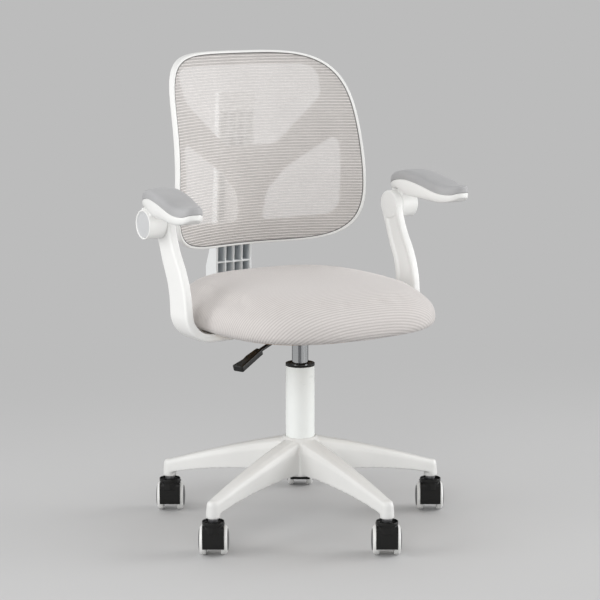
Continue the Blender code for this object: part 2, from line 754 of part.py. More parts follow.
def make_lever():
    pivot = lever_pivot()
    frame = joint_frame("lever_axis", pivot, LEVER_TURN)
    nose_z = valve_top + GAP + LEVER_ROD_RADIUS - pivot.z
    curve = bpy.data.curves.new("lever", "CURVE")
    curve.dimensions = "3D"
    curve.bevel_depth = LEVER_ROD_RADIUS
    curve.bevel_resolution = 2
    curve.use_fill_caps = True
    route = [(-LEVER_FINGER - 0.001, nose_z), (-0.78 * LEVER_FINGER, nose_z)]
    route.append((-0.3 * LEVER_FINGER, 0.35 * nose_z))
    route += [(0, 0), (0.3 * LEVER_REACH, -0.2 * LEVER_DROP), (LEVER_REACH, -LEVER_DROP)]
    spline = curve.splines.new("POLY")
    spline.points.add(len(route) - 1)
    for point, (x, z) in zip(spline.points, route):
        point.co = (x, 0, z, 1)
    rod = settled(tool(curve, "lever"))
    barrel = drum("lever_barrel", LEVER_PIVOT_RADIUS, -LEVER_PIVOT_LENGTH / 2, LEVER_PIVOT_LENGTH / 2, 14)
    barrel.rotation_euler = (math.pi / 2, 0, 0)
    join(rod, barrel)
    part(settled(rod), "lever_rod", "dark_steel", parent=frame)
    neck, wide = PADDLE_NECK_WIDTH / 2, PADDLE_WIDTH / 2
    waist = 0.62 * PADDLE_LENGTH
    corners = [(0, neck, 0.002), (0, -neck, 0.002), (0.45 * PADDLE_LENGTH, -neck - 0.002, 0.006)]
    corners += [(waist, -neck, 0.006), (PADDLE_LENGTH, -wide, 0.003), (PADDLE_LENGTH, wide, 0.003)]
    corners += [(waist, wide - 0.002, 0.02)]
    thick = PADDLE_THICKNESS / 2
    face = rounded(corners, 3)
    edge = inset(face, PADDLE_EDGE)
    layers = ((edge, -thick), (face, PADDLE_EDGE - thick), (face, thick - PADDLE_EDGE), (edge, thick))
    paddle = loft("paddle", [[(u, v, z) for u, v in loop] for loop, z in layers])
    socket_rise = PADDLE_SOCKET * math.tan(PADDLE_SLOPE) / 2
    paddle.location = (LEVER_REACH - PADDLE_SOCKET, 0, socket_rise - LEVER_DROP)
    paddle.rotation_euler = (0, PADDLE_SLOPE, 0)
    slope = math.atan2(0.8 * LEVER_DROP, 0.7 * LEVER_REACH)
    hole = drum("paddle_hole", LEVER_ROD_RADIUS + GAP, -0.03, GAP, 12)
    hole.location = (LEVER_REACH, 0, -LEVER_DROP)
    hole.rotation_euler = (0, math.pi / 2 + slope, 0)
    cut(paddle, hole)
    part(settled(paddle), "lever_paddle", "black_moulding", parent=frame)


def seat_ring(inset, z):
    ring = superellipse(SEAT_WIDTH / 2 - inset, SEAT_DEPTH / 2 - inset, SEAT_POWER, SEAT_SIDES)
    return [(x, y + SEAT_CENTRE_Y, z) for x, y in ring]


def crown_ring(angle):
    """A ring of the cushion's crown, from its widest line (0) to the top (90 degrees)."""
    waist = cushion_bottom + CUSHION_WAIST
    share = math.cos(math.radians(angle)) ** (2 / CUSHION_CROWN_POWER)
    rise = math.sin(math.radians(angle)) ** (2 / CUSHION_CROWN_POWER)
    ring = superellipse(SEAT_WIDTH / 2 * share, SEAT_DEPTH / 2 * share, SEAT_POWER, SEAT_SIDES)
    z = waist + (cushion_top - waist) * rise
    return [(x, y + SEAT_CENTRE_Y, z) for x, y in ring]


def make_seat():
    rings = [seat_ring(CUSHION_DRAW_IN, cushion_bottom)]
    rings.append(seat_ring(0.25 * CUSHION_DRAW_IN, cushion_bottom + 0.4 * CUSHION_WAIST))
    rings += [crown_ring(angle) for angle in (0, 12, 25, 40, 54, 66, 76, 84, 88.5)]
    cushion = loft("cushion", rings)
    edge = BOARD_INSET - GAP
    pocket = [seat_ring(edge, board_bottom - OVER), seat_ring(edge, board_top + GAP)]
    cut(cushion, loft("board_pocket", pocket))
    part(settled(cushion), "seat_cushion", "seat_fabric")
    board = loft("board", [seat_ring(BOARD_INSET, board_bottom), seat_ring(BOARD_INSET, board_top)])
    places = flange_bolt_places() + arm_bolt_places(-1) + arm_bolt_places(1)
    cut(board, bolt_holes("board_holes", places, board_bottom - OVER, board_bottom + BOLT_BITE + GAP))
    part(settled(board), "seat_board", "board_wood")


def back_y(x, z):
    """The backrest's front surface: leaning away above and below the lumbar line, wrapping at the sides."""
    return lumbar_y + (z - lumbar_z) ** 2 / (2 * LEAN_RADIUS) - x ** 2 / (2 * WRAP_RADIUS)


def back_outline(inset):
    points = superellipse(BACK_WIDTH / 2 - inset, BACK_HEIGHT / 2 - inset, BACK_POWER, BACK_SIDES)
    return [(x * (1 - BACK_TAPER * 2 * z / BACK_HEIGHT), back_centre + z) for x, z in points]


def back_slab(name, front, rear, columns, rows):
    """A thick sheet that follows the backrest's surface, larger than its outline."""
    bm = bmesh.new()
    bmesh.ops.create_grid(bm, x_segments=columns, y_segments=rows, size=1.0)
    half_width = BACK_WIDTH * (1 + BACK_TAPER) / 2 + OVER
    half_height = BACK_HEIGHT / 2 + OVER
    for vert in bm.verts:
        x, z = vert.co.x * half_width, back_centre + vert.co.y * half_height
        vert.co = (x, back_y(x, z) + front, z)
    grown = bmesh.ops.extrude_face_region(bm, geom=list(bm.faces))
    moved = [item for item in grown["geom"] if isinstance(item, bmesh.types.BMVert)]
    bmesh.ops.translate(bm, verts=moved, vec=(0, rear - front, 0))
    return tool(closed_mesh(bm, name), name)


def window_outlines():
    """One window over the fork of the Y and one at each side of its stem."""
    half = BACK_WIDTH / 2
    top = back_top - TOP_FLANGE
    shoulder = back_top - SHOULDER_DROP
    fork = back_bottom + FORK_RISE
    wide, narrow = half - SHOULDER_FLANGE, FORK_HALF_WIDTH
    right = [(narrow, fork, 0.035), (wide, shoulder, 0.03), (wide + STEM_FLARE, top, 0.032)]
    left = [(-x, z, radius) for x, z, radius in reversed(right)]
    upper = rounded(right + left)
    side, stem = half - SIDE_FLANGE, STEM_WIDTH / 2
    low = back_bottom + BOTTOM_FLANGE
    high = back_bottom + LOWER_WINDOW_RISE
    lower = [(stem, low, 0.010), (side, low + LOWER_TILT, 0.030), (side, high, 0.012)]
    lower.append((stem + ELBOW_OUT, high - ELBOW_DROP, 0.045))
    lower.append((stem + STEM_FLARE, high - STEM_FLARE_DROP, 0.045))
    return [upper, rounded(lower), rounded([(-x, z, radius) for x, z, radius in lower])]


def bar_front_y(z):
    """The bar's front face, which leans forward above the seat."""
    return bar_front - BAR_LEAN * max(0.0, z - cushion_top) / (BAR_TOP_RISE + back_bottom - cushion_top)


def make_back():
    near, far = lumbar_y - 0.2, bar_front + 0.1
    frame = back_slab("frame_slab", 0, RIM_DEPTH, 13, 12)
    combine(frame, plate("frame_outline", back_outline(0), near, far, FRONT_PLANE), "INTERSECT")
    hollow = back_slab("hollow_slab", -0.02, RIM_DEPTH - SHELL_WALL, 13, 12)
    combine(hollow, plate("hollow_outline", back_outline(RIM_WALL), near, far, FRONT_PLANE), "INTERSECT")
    cut(frame, settled(hollow))
    windows = [plate("window", loop, near, far, FRONT_PLANE) for loop in window_outlines()]
    cut(frame, merged("windows", windows))
    spine_low, spine_high = back_bottom + 0.5 * BOTTOM_FLANGE, back_bottom + FORK_RISE - 0.006
    rear = [(bar_front_y(z) - GAP, z) for z in (spine_high, spine_low)]
    ahead = [(lumbar_y - 0.05, spine_low), (lumbar_y - 0.05, spine_high)]
    spine = plate("spine", rear + ahead, -SPINE_WIDTH / 2, SPINE_WIDTH / 2, SIDE_PLANE)
    combine(spine, back_slab("spine_slab", RIM_DEPTH - SHELL_WALL / 2, 0.15, 13, 12), "INTERSECT")
    join(frame, settled(spine))
    part(settled(frame), "back_frame", "white_moulding")
    mesh = back_slab("mesh_slab", MESH_RECESS, MESH_RECESS + MESH_THICKNESS, 11, 11)
    combine(mesh, plate("mesh_outline", back_outline(RIM_WALL + GAP), near, far, FRONT_PLANE), "INTERSECT")
    part(settled(mesh), "back_mesh", "back_mesh_fabric")


def bar_rear_y(z):
    """The bar grows deeper towards its bend."""
    top = back_bottom + BAR_TOP_RISE
    depths = ((cushion_bottom, BAR_BEND_DEPTH), (cushion_top - BAR_SHOULDER_DROP, 0.94 * BAR_BEND_DEPTH))
    depths += ((back_bottom, BAR_NECK_DEPTH), (top, BAR_TOP_DEPTH))
    depth = depths[-1][1]
    for (z0, a), (z1, b) in zip(depths, depths[1:]):
        if z0 <= z <= z1:
            depth = a + (b - a) * (z - z0) / (z1 - z0)
            break
    return bar_front_y(z) + depth


def bar_rows():
    """Heights of the bar's cross ribs."""
    first = cushion_bottom + BAR_FIRST_RIB_RISE - BAR_ROW_PITCH
    top = back_bottom + BAR_TOP_RISE - BAR_SIDE_WALL
    count = int((top - first) / BAR_ROW_PITCH)
    return [first + k * BAR_ROW_PITCH for k in range(count + 1)]


def make_bar():
    top = back_bottom + BAR_TOP_RISE
    foot_top = board_bottom - GAP
    rear_bend = bar_front + BAR_BEND_DEPTH
    foot_bottom = foot_top - BAR_FOOT_DEPTH
    corners = [(bar_front - BAR_FOOT_REACH, foot_top, 0.002), (bar_front, foot_top, 0.006)]
    corners += [(bar_front_y(z), z, 0.01) for z in (cushion_top, top)]
    corners += [(bar_rear_y(z), z, 0.02) for z in (top, back_bottom, cushion_top - BAR_SHOULDER_DROP)]
    corners += [(rear_bend, foot_bottom - BAR_BEND_DROP, BAR_BEND_RADIUS)]
    corners += [(bar_front - BAR_FOOT_REACH, foot_bottom, 0.003)]
    corners[3] = (*corners[3][:2], 0.004)
    corners[4] = (*corners[4][:2], 0.006)
    half = BAR_WIDTH / 2
    bar = plate("bar", rounded(corners, 4), -half, half, SIDE_PLANE)
    inner = BAR_WIDTH - 2 * BAR_SIDE_WALL
    cell = (inner - (BAR_COLUMNS - 1) * BAR_RIB) / BAR_COLUMNS
    cells = []
    heights = bar_rows()
    for low, high in zip(heights, heights[1:]):
        low, high = low + BAR_RIB / 2, high - BAR_RIB / 2
        loop = [(bar_front_y(low) - 0.02, low), (bar_rear_y(low) - BAR_SKIN, low)]
        loop += [(bar_rear_y(high) - BAR_SKIN, high), (bar_front_y(high) - 0.02, high)]
        for k in range(BAR_COLUMNS):
            start = -half + BAR_SIDE_WALL + k * (cell + BAR_RIB)
            cells.append(plate("cell", loop, start, start + cell, SIDE_PLANE))
    cut(bar, merged("cells", cells))
    part(settled(bar), "back_bar", "white_moulding")


def post_path():
    """Points down the middle of an arm post, from its pivot to the end of its foot."""
    x = post_inner + POST_THICKNESS / 2
    foot_z = board_bottom - GAP - POST_THICKNESS / 2
    drop = pivot_z - foot_z
    shares = (0, 0.12, 0.24, 0.36, 0.48, 0.60, 0.70)
    points = [Vector((x, PIVOT_Y * through(POST_SWEEP, u), pivot_z - drop * u)) for u in shares]
    bend = min(POST_BEND, 0.28 * drop)
    for k in range(1, 6):
        turn = math.pi / 2 * k / 5
        z = foot_z + bend * (1 - math.sin(turn))
        y = PIVOT_Y * through(POST_SWEEP, min(1, (pivot_z - z) / drop))
        points.append(Vector((x - bend * (1 - math.cos(turn)), y, z)))
    points.append(Vector((foot_end, foot_y, foot_z)))
    return points


def post_width(z):
    """The band is narrowest just under its knuckle."""
    foot_z = board_bottom - GAP - POST_THICKNESS / 2
    share = (pivot_z - z) / (pivot_z - foot_z)
    waist = (POST_WAIST_WIDTH + POST_WIDTH) / 2
    return through(((0.0, waist), (0.18, POST_WAIST_WIDTH), (0.75, POST_WIDTH), (1.0, POST_WIDTH)), share)


def post_section(centre, tangent, side):
    """A flat band with a channel along its inner face."""
    across_band = Vector((0, 1, 0)) - tangent * tangent.y
    across_band.normalize()
    outward = tangent.cross(across_band)
    w, t = post_width(centre.z) / 2, POST_THICKNESS / 2
    lip = w - POST_EDGE
    trim = 0.3 * POST_ROUND
    flat = [(w, t - POST_ROUND), (w - trim, t - trim), (w - POST_ROUND, t)]
    flat += [(-u, v) for u, v in reversed(flat)]
    flat += [(-w, -t), (-lip, -t), (CHANNEL_SLOPE - lip, POST_RECESS - t)]
    flat += [(lip - CHANNEL_SLOPE, POST_RECESS - t), (lip, -t), (w, -t)]
    points = [centre + across_band * u + outward * v for u, v in flat]
    return [(side * p.x, p.y, p.z) for p in points]


def make_post(side, label):
    path = post_path()
    rings = []
    for i, point in enumerate(path):
        tangent = (path[min(i + 1, len(path) - 1)] - path[max(i - 1, 0)]).normalized()
        if i == len(path) - 1 or i == len(path) - 2:
            tangent = Vector((-1, 0, 0))
        rings.append(post_section(point, tangent, side))
    post = loft("post", rings)
    pivot = (side * post_inner, PIVOT_Y, pivot_z)
    knuckle = drum("knuckle", KNUCKLE_RADIUS, -KNUCKLE_PROUD, POST_THICKNESS + KNUCKLE_PROUD, 24)
    post = settled(join(post, across(knuckle, pivot, side)))
    bore = drum("knuckle_bore", PIVOT_BOLT_RADIUS + GAP, PIVOT_BLIND_WALL, POST_THICKNESS + OVER, 16)
    places = arm_bolt_places(side)
    foot_low = board_bottom - GAP - POST_THICKNESS
    holes = bolt_holes("foot_holes", places, foot_low - OVER, board_bottom + OVER)
    cut(post, merged("post_bores", [across(bore, pivot, side), holes]))
    part(settled(post), "arm_post_" + label, "white_moulding")
    make_bolts("arm_bolt_" + label, places, foot_low)
    shank = barrel_inner + BARREL_LENGTH - CAP_THICKNESS - CAP_RECESS - PIVOT_HEAD_HEIGHT - 3 * GAP
    tip = post_inner + PIVOT_BLIND_WALL + GAP
    profile = [(0, shank + PIVOT_HEAD_HEIGHT - tip), (PIVOT_HEAD_RADIUS, shank + PIVOT_HEAD_HEIGHT - tip)]
    profile += [(PIVOT_HEAD_RADIUS, shank - tip), (PIVOT_BOLT_RADIUS, shank - tip)]
    profile += [(PIVOT_BOLT_RADIUS, 0), (0, 0)]
    bolt = turned("pivot_bolt", profile, 16)
    bolt = part(bolt, "pivot_bolt_" + label, "dark_steel")
    across(bolt, (side * tip, PIVOT_Y, pivot_z), side)


def arm_stations(count):
    return [0.004 + 0.992 * (1 - math.cos(math.pi * k / count)) / 2 for k in range(count + 1)]


def arm_line(u):
    """Half width, x, y and seam height of an armrest at a share of its length, from its pivot."""
    half = ARM_WIDTH / 2 * (1 - abs(2 * u - 1) ** ARM_POWER) ** (1 / ARM_POWER)
    y = ARM_REAR - u * ARM_LENGTH
    x = arm_x - y * math.tan(ARM_TOE_OUT)
    return half, x, y, through(ARM_WAVE, u)


def arm_body_ring(u, side):
    half, x, y, seam = arm_line(u)
    depth = through(ARM_DEPTH, u)
    flat = [(half, seam), (half, seam - 0.55 * depth), (0.80 * half, seam - depth)]
    flat += [(-0.80 * half, seam - depth), (-half, seam - 0.55 * depth), (-half, seam)]
    return [(side * (x + a), y, b) for a, b in flat]


def arm_pad_ring(u, side):
    half, x, y, seam = arm_line(u)
    low = seam + GAP
    tall = PAD_THICKNESS * (0.8 + 0.4 * half / ARM_WIDTH)
    flat = [(half, low), (half, low + 0.45 * tall)]
    flat += [(0.84 * half, low + 0.84 * tall), (0.45 * half, low + tall)]
    flat += [(-a, b) for a, b in reversed(flat)]
    return [(side * (x + a), y, b) for a, b in flat]


def neck_outline(side):
    """The rear of the armrest's plan, kept within the barrel's length."""
    reach = (ARM_REAR + BARREL_NECK_WIDTH / 2) / ARM_LENGTH
    outside, inside = [], []
    for k in range(9):
        half, x, y, seam = arm_line(NECK_START + (reach - NECK_START) * (k / 8) ** 2)
        outside.append((side * min(x + NECK_SHARE * half, barrel_outer - 2 * CAP_THICKNESS), y))
        inside.append((side * max(x - NECK_SHARE * half, barrel_inner + CAP_RECESS), y))
    return outside + inside[::-1]


def make_armrest(side, label):
    frame = joint_frame("armrest_axis_" + label, (0, PIVOT_Y, pivot_z))
    body = loft("arm_body", [arm_body_ring(u, side) for u in arm_stations(12)])
    inner = (side * barrel_inner, 0, 0)
    length = BARREL_LENGTH
    cap_floor = length - CAP_THICKNESS - CAP_RECESS - 2 * GAP
    head_floor = cap_floor - PIVOT_HEAD_HEIGHT - 2 * GAP
    neck_top = ARM_WAVE[0][1] - 0.4 * ARM_DEPTH[0][1]
    body = settled(join(body, plate("barrel_neck", neck_outline(side), 0, neck_top, PLAN)))
    body = settled(join(body, across(drum("barrel", KNUCKLE_RADIUS, 0, length, 24), inner, side)))
    cap_bore, head_bore, bolt_bore = CAP_RADIUS + GAP, PIVOT_HEAD_RADIUS + GAP, PIVOT_BOLT_RADIUS + GAP
    bore = [(0, length + OVER), (cap_bore, length + OVER), (cap_bore, cap_floor), (head_bore, cap_floor)]
    bore += [(head_bore, head_floor), (bolt_bore, head_floor), (bolt_bore, -OVER), (0, -OVER)]
    cut(body, across(turned("barrel_bore", bore, 20), inner, side))
    part(settled(body), "armrest_body_" + label, "white_moulding", parent=frame)
    pad = loft("arm_pad", [arm_pad_ring(u, side) for u in arm_stations(12)])
    part(pad, "armrest_pad_" + label, "arm_pad_foam", parent=frame)
    low = cap_floor + GAP
    dome = [(0, low + CAP_THICKNESS), (CAP_RADIUS, low + CAP_THICKNESS), (CAP_RADIUS, low), (0, low)]
    cap = part(turned("cap", dome, 20), "pivot_cap_" + label, "grey_cap", parent=frame)
    across(cap, inner, side)


def hood_mesh():
    """Fork, fender and collar of a castor, with the stem on Z and the wheels trailing along +Y."""
    centre = (CASTOR_TRAIL, axle_height)
    front, roof = CASTOR_TRAIL - fender_outer, axle_height + fender_outer
    outer = arc(centre, fender_outer, FENDER_REAR_ANGLE, 90, 3)
    outer += arc((front + HOOD_CORNER, roof - HOOD_CORNER), HOOD_CORNER, 90, 180, 3)
    outer += arc(centre, fender_outer, 180, FENDER_FRONT_ANGLE, 2)
    inner = arc(centre, fender_inner, FENDER_FRONT_ANGLE, FENDER_REAR_ANGLE, 10)
    hood = plate("fender", outer + inner, -FENDER_WIDTH / 2, FENDER_WIDTH / 2, SIDE_PLANE)
    middle = (fender_inner + fender_outer) / 2
    web = arc(centre, middle, FENDER_REAR_ANGLE + 4, FENDER_FRONT_ANGLE - 6, 9)
    web += arc(centre, AXLE_BOSS_RADIUS, 255, 375, 4)
    web = plate("web", web, -FORK_WIDTH / 2, FORK_WIDTH / 2, SIDE_PLANE)
    neck = COLLAR_RADIUS - COLLAR_GROOVE
    ring = hood_top - COLLAR_HEIGHT
    low = axle_height + 0.6 * fender_outer
    profile = [(0, cup_floor), (CUP_RADIUS, cup_floor), (CUP_RADIUS, hood_top), (COLLAR_RADIUS, hood_top)]
    profile += [(COLLAR_RADIUS, ring), (neck, ring - COLLAR_GROOVE / 2), (neck, low), (0, low)]
    boss = turned("collar", profile, 16)
    wells = []
    for side in (-1, 1):
        well = drum("wheel_well", middle, FORK_WIDTH / 2, FENDER_WIDTH, 16)
        wells.append(across(well, (0, CASTOR_TRAIL, axle_height), side))
    cut(boss, merged("wheel_wells", wells))
    join(hood, settled(boss))
    join(hood, web)
    stem_bore = drum("stem_bore", STEM_RADIUS + GAP, cup_floor - STEM_HOOD_DEPTH, hood_top + OVER, 12)
    axle_bore = across(drum("axle_bore", AXLE_RADIUS + GAP, -FORK_WIDTH, FORK_WIDTH, 10))
    axle_bore.location = (0, CASTOR_TRAIL, axle_height)
    cut(hood, merged("hood_bores", [stem_bore, axle_bore]))
    return settled(hood)


def wheel_profile():
    inner = FORK_WIDTH / 2 + WHEEL_SIDE_GAP
    tread_end = inner + TREAD_WIDTH
    face = tread_end + WHEEL_DOME
    bore = AXLE_RADIUS + GAP
    bore_end = inner + AXLE_REACH
    profile = [(0, face), (WHEEL_FACE_RADIUS, face - 0.3 * WHEEL_DOME), (WHEEL_RADIUS, tread_end)]
    return profile + [(WHEEL_RADIUS, inner), (bore, inner), (bore, bore_end), (0, bore_end)]


def make_castors():
    stem_top = leg_bottom + STEM_SOCKET_DEPTH - GAP
    flange_low = cup_floor + GAP
    flange_high = flange_low + STEM_FLANGE_HEIGHT
    stem_low = cup_floor - STEM_HOOD_DEPTH + GAP
    stem = [(0, stem_top), (STEM_RADIUS, stem_top), (STEM_RADIUS, flange_high)]
    stem.append((STEM_FLANGE_RADIUS, flange_high))
    stem += [(STEM_FLANGE_RADIUS, flange_low), (STEM_RADIUS, flange_low)]
    stem += [(STEM_RADIUS, stem_low), (0, stem_low)]
    stem = settled(turned("stem", stem, 12))
    hood = hood_mesh()
    half_axle = FORK_WIDTH / 2 + WHEEL_SIDE_GAP + AXLE_REACH - GAP
    axle = settled(drum("axle", AXLE_RADIUS, -half_axle, half_axle, 10))
    wheel = settled(turned("wheel", wheel_profile(), WHEEL_SIDES, phase=math.pi / WHEEL_SIDES))
    at_axle = (0, CASTOR_TRAIL, axle_height)
    sources = (("caster_stem", stem, "dark_steel"), ("caster_hood", hood, "black_moulding"))
    sources += (("caster_axle", axle, "dark_steel"), ("caster_wheel", wheel, "wheel_white"))
    for name, source, material in sources:
        source.data.materials.append(FINISHES[material])
    for k in range(LEG_COUNT):
        angle = BASE_TURN + k * 2 * math.pi / LEG_COUNT
        place = (STEM_CIRCLE_RADIUS * math.cos(angle), STEM_CIRCLE_RADIUS * math.sin(angle), 0)
        frame = joint_frame(f"caster_axis_{k + 1}", place, CASTOR_TURN)
        copy_part(stem, f"caster_stem_{k + 1}", frame)
        copy_part(hood, f"caster_hood_{k + 1}", frame)
        copy_part(axle, f"caster_axle_{k + 1}", frame, at_axle, (0, math.pi / 2, 0))
        for side, label in ((-1, "left"), (1, "right")):
            copy_part(wheel, f"caster_wheel_{k + 1}_{label}", frame, at_axle, (0, side * math.pi / 2, 0))


def main():
    clear_scene()
    make_finishes()
    make_castors()
    make_base()
    make_column()
    make_spindle()
    make_lift()
    make_mechanism()
    make_lever()
    make_seat()
    make_bar()
    make_back()
    for side, label in ((-1, "left"), (1, "right")):
        make_post(side, label)
        make_armrest(side, label)


main()
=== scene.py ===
# %% [markdown]
# # A child's desk chair
#
# The chair has a mesh back in a white hoop, a ribbed seat cushion, two flip-up arms, a gas lift and
# five twin-wheel castors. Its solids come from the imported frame, in metres. This lesson dresses them:
# it smooths the mouldings, sews the soft pieces and mixes a finish for every surface.

# %% Load the frame
import math
import bmesh
import bpy
import numpy as np
from mathutils import Matrix, Vector
from mathutils.bvhtree import BVHTree


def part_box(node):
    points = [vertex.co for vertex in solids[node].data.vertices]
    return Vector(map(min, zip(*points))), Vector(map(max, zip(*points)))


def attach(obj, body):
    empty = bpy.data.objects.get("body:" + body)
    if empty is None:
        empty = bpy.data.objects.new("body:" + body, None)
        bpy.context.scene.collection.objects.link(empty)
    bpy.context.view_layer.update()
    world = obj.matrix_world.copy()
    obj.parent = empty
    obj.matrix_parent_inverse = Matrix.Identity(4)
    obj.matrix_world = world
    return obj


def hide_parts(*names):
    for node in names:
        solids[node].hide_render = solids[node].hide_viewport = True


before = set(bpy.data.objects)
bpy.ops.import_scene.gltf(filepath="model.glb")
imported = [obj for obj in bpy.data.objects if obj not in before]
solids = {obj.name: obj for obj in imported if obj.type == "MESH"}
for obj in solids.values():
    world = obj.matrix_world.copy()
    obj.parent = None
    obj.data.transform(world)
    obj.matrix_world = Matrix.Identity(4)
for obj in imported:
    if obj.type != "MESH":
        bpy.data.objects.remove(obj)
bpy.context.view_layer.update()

HANDS = ((-1, "left"), (1, "right"))
CASTORS = range(1, 6)

# %% [markdown]
# ## Small helpers
#
# Every finished piece is a plain mesh that sits at the origin, so that a pattern on Object coordinates
# stays where it is. A modifier stack is only a tool here: its result is taken with new_from_object and
# the helper object goes away again.

# %% Turn meshes into pieces
MERGE = 1e-6


def workpiece(mesh, name):
    """A mesh on a helper object, ready for modifiers."""
    thing = bpy.data.objects.new(name, mesh)
    bpy.context.scene.collection.objects.link(thing)
    return thing


def baked(thing):
    """The helper's mesh with its modifiers applied; the helper is removed."""
    graph = bpy.context.evaluated_depsgraph_get()
    mesh = bpy.data.meshes.new_from_object(thing.evaluated_get(graph))
    mesh.name = thing.name
    bpy.data.objects.remove(thing)
    return mesh


def worked(mesh, name, *tools):
    """A mesh after a stack of modifiers, each given as its type and its settings."""
    thing = workpiece(mesh, name)
    for kind, settings in tools:
        modifier = thing.modifiers.new(kind.lower(), kind)
        for label, value in settings.items():
            setattr(modifier, label, value)
    return baked(thing)


def opened(*meshes, merged=False):
    """Meshes as one bmesh; points that meet are merged on request."""
    bm = bmesh.new()
    for mesh in meshes:
        bm.from_mesh(mesh)
    if merged:
        bmesh.ops.remove_doubles(bm, verts=bm.verts, dist=MERGE)
    return bm


def closed(bm, name, outwards=True):
    """A bmesh as a mesh, its faces turned outwards unless they already are."""
    if outwards:
        bmesh.ops.recalc_face_normals(bm, faces=bm.faces)
    mesh = bpy.data.meshes.new(name)
    bm.to_mesh(mesh)
    bm.free()
    return mesh


def skin(rings, name, looped=False, first_cap=True):
    """A skin through rings of equal point counts, looped or with caps at its ends."""
    bm = bmesh.new()
    rows = [[bm.verts.new(point) for point in ring] for ring in rings]
    count = len(rows[0])
    for low, high in zip(rows, rows[1:] + rows[:1] if looped else rows[1:]):
        for i in range(count):
            j = (i + 1) % count
            bm.faces.new((low[i], low[j], high[j], high[i]))
    if first_cap and not looped:
        bm.faces.new(reversed(rows[0]))
    if not looped:
        bm.faces.new(rows[-1])
    return closed(bm, name)


def spun(profile, name, steps=72):
    """A closed profile of (radius, height) points spun round the Z axis."""
    rings = []
    for k in range(steps):
        turn = 2 * math.pi * k / steps
        rings.append([(r * math.cos(turn), r * math.sin(turn), h) for r, h in profile])
    bm = opened(skin(rings, name, looped=True), merged=True)
    bmesh.ops.dissolve_degenerate(bm, edges=bm.edges, dist=MERGE)
    return closed(bm, name)


def joined(meshes, name):
    """Several meshes as one."""
    return closed(opened(*meshes), name, outwards=False)


def solid_copy(node, name):
    """A CAD node's mesh with its loose triangles merged."""
    return closed(opened(solids[node].data, merged=True), name, outwards=False)


def moulded(mesh, name, voxel, rounds, share=1.0):
    """An even skin over a mesh with its edges eased, as a moulding comes out of its tool."""
    tools = [("REMESH", {"mode": "VOXEL", "voxel_size": voxel}), ("SMOOTH", {"iterations": rounds})]
    if share < 1:
        tools.append(("DECIMATE", {"ratio": share}))
    return worked(mesh, name, *tools)


def show(mesh, name, body, finish, stands_for=(), crease=180):
    """A finished mesh as a piece of the chair, riding on a body."""
    mesh.name = name
    mesh.materials.clear()
    mesh.materials.append(finish)
    mesh.shade_smooth()
    if crease < 180:
        mesh.set_sharp_from_angle(angle=math.radians(crease))
    piece = workpiece(mesh, name)
    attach(piece, body)
    if stands_for:
        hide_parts(*stands_for)
    return piece


def moved(mesh, matrix):
    """A copy of a mesh in another place."""
    copy = mesh.copy()
    copy.transform(matrix)
    return copy


def across(mesh, place, side):
    """A mesh made round Z, turned so that its Z points out along X on that side, and put in place."""
    return moved(mesh, Matrix.Translation(place) @ Matrix.Rotation(side * math.pi / 2, 4, "Y"))


def quarter(steps, start=0.0):
    """Turns from start through a quarter circle."""
    return [start + math.pi / 2 * k / steps for k in range(steps + 1)]


def through(table, u):
    """A smooth value at u through a table of (position, value) rows."""
    last = len(table) - 1
    i = max(k for k in range(last) if table[k][0] <= u or k == 0)
    (u0, a), (u1, b) = table[i], table[i + 1]

    def slope(k):
        low, high = table[max(k - 1, 0)], table[min(k + 1, last)]
        return (high[1] - low[1]) / (high[0] - low[0])

    span = u1 - u0
    t = (u - u0) / span
    start = (2 * t ** 3 - 3 * t ** 2 + 1) * a + (t ** 3 - 2 * t ** 2 + t) * span * slope(i)
    end = (3 * t ** 2 - 2 * t ** 3) * b + (t ** 3 - t ** 2) * span * slope(i + 1)
    return start + end


print("helpers ready")

# %% [markdown]
# ## Effects that several finishes share
#
# Moulded plastic is never one flat colour: the tool leaves a fine spark-eroded grain and the resin
# cools with faint clouds in its gloss. Handling leaves sparse scuffs. Woven cloth has ribs with a fine
# thread across them. Each is a node group, built once and placed in the materials with its own values.

# %% Wire up nodes
# The Mix node has sockets for numbers, vectors and colours: these are the places of its colours.
MIX_COLOURS, MIX_RESULT = (6, 7), 2


def feed(tree, node, sockets):
    """Each named input of a node linked to a socket or set to a plain value."""
    for label, value in sockets.items():
        if isinstance(value, bpy.types.NodeSocket):
            tree.links.new(value, node.inputs[label])
        else:
            node.inputs[label].default_value = value


def add(tree, kind, sockets=None, **settings):
    """A new node with its settings and its inputs fed; gives back its outputs."""
    node = tree.nodes.new(kind)
    for label, value in settings.items():
        setattr(node, label, value)
    feed(tree, node, sockets or {})
    return node.outputs


def maths(tree, operation, *values):
    return add(tree, "ShaderNodeMath", dict(enumerate(values)), operation=operation)[0]


def noise(tree, vector, scale, detail=2.0):
    return add(tree, "ShaderNodeTexNoise", {"Vector": vector, "Scale": scale, "Detail": detail})["Fac"]


def ramp(tree, value, low, high):
    """A value spread from low..high to 0..1, smooth at both ends."""
    sockets = {"Value": value, "From Min": low, "From Max": high}
    return add(tree, "ShaderNodeMapRange", sockets, interpolation_type="SMOOTHSTEP")["Result"]


def spread(tree, value, low, high):
    """A 0..1 value as a number from low to high."""
    return add(tree, "ShaderNodeMapRange", {"Value": value, "To Min": low, "To Max": high})["Result"]


def place_in(tree, kind="Object"):
    """Where a point lies on its piece; Normal gives the way its face looks."""
    return add(tree, "ShaderNodeTexCoord")[kind]


def stretched(tree, vector, scale, rotation=(0, 0, 0)):
    return add(tree, "ShaderNodeMapping", {"Vector": vector, "Scale": scale, "Rotation": rotation})["Vector"]


def split(tree, vector):
    return add(tree, "ShaderNodeSeparateXYZ", {"Vector": vector})


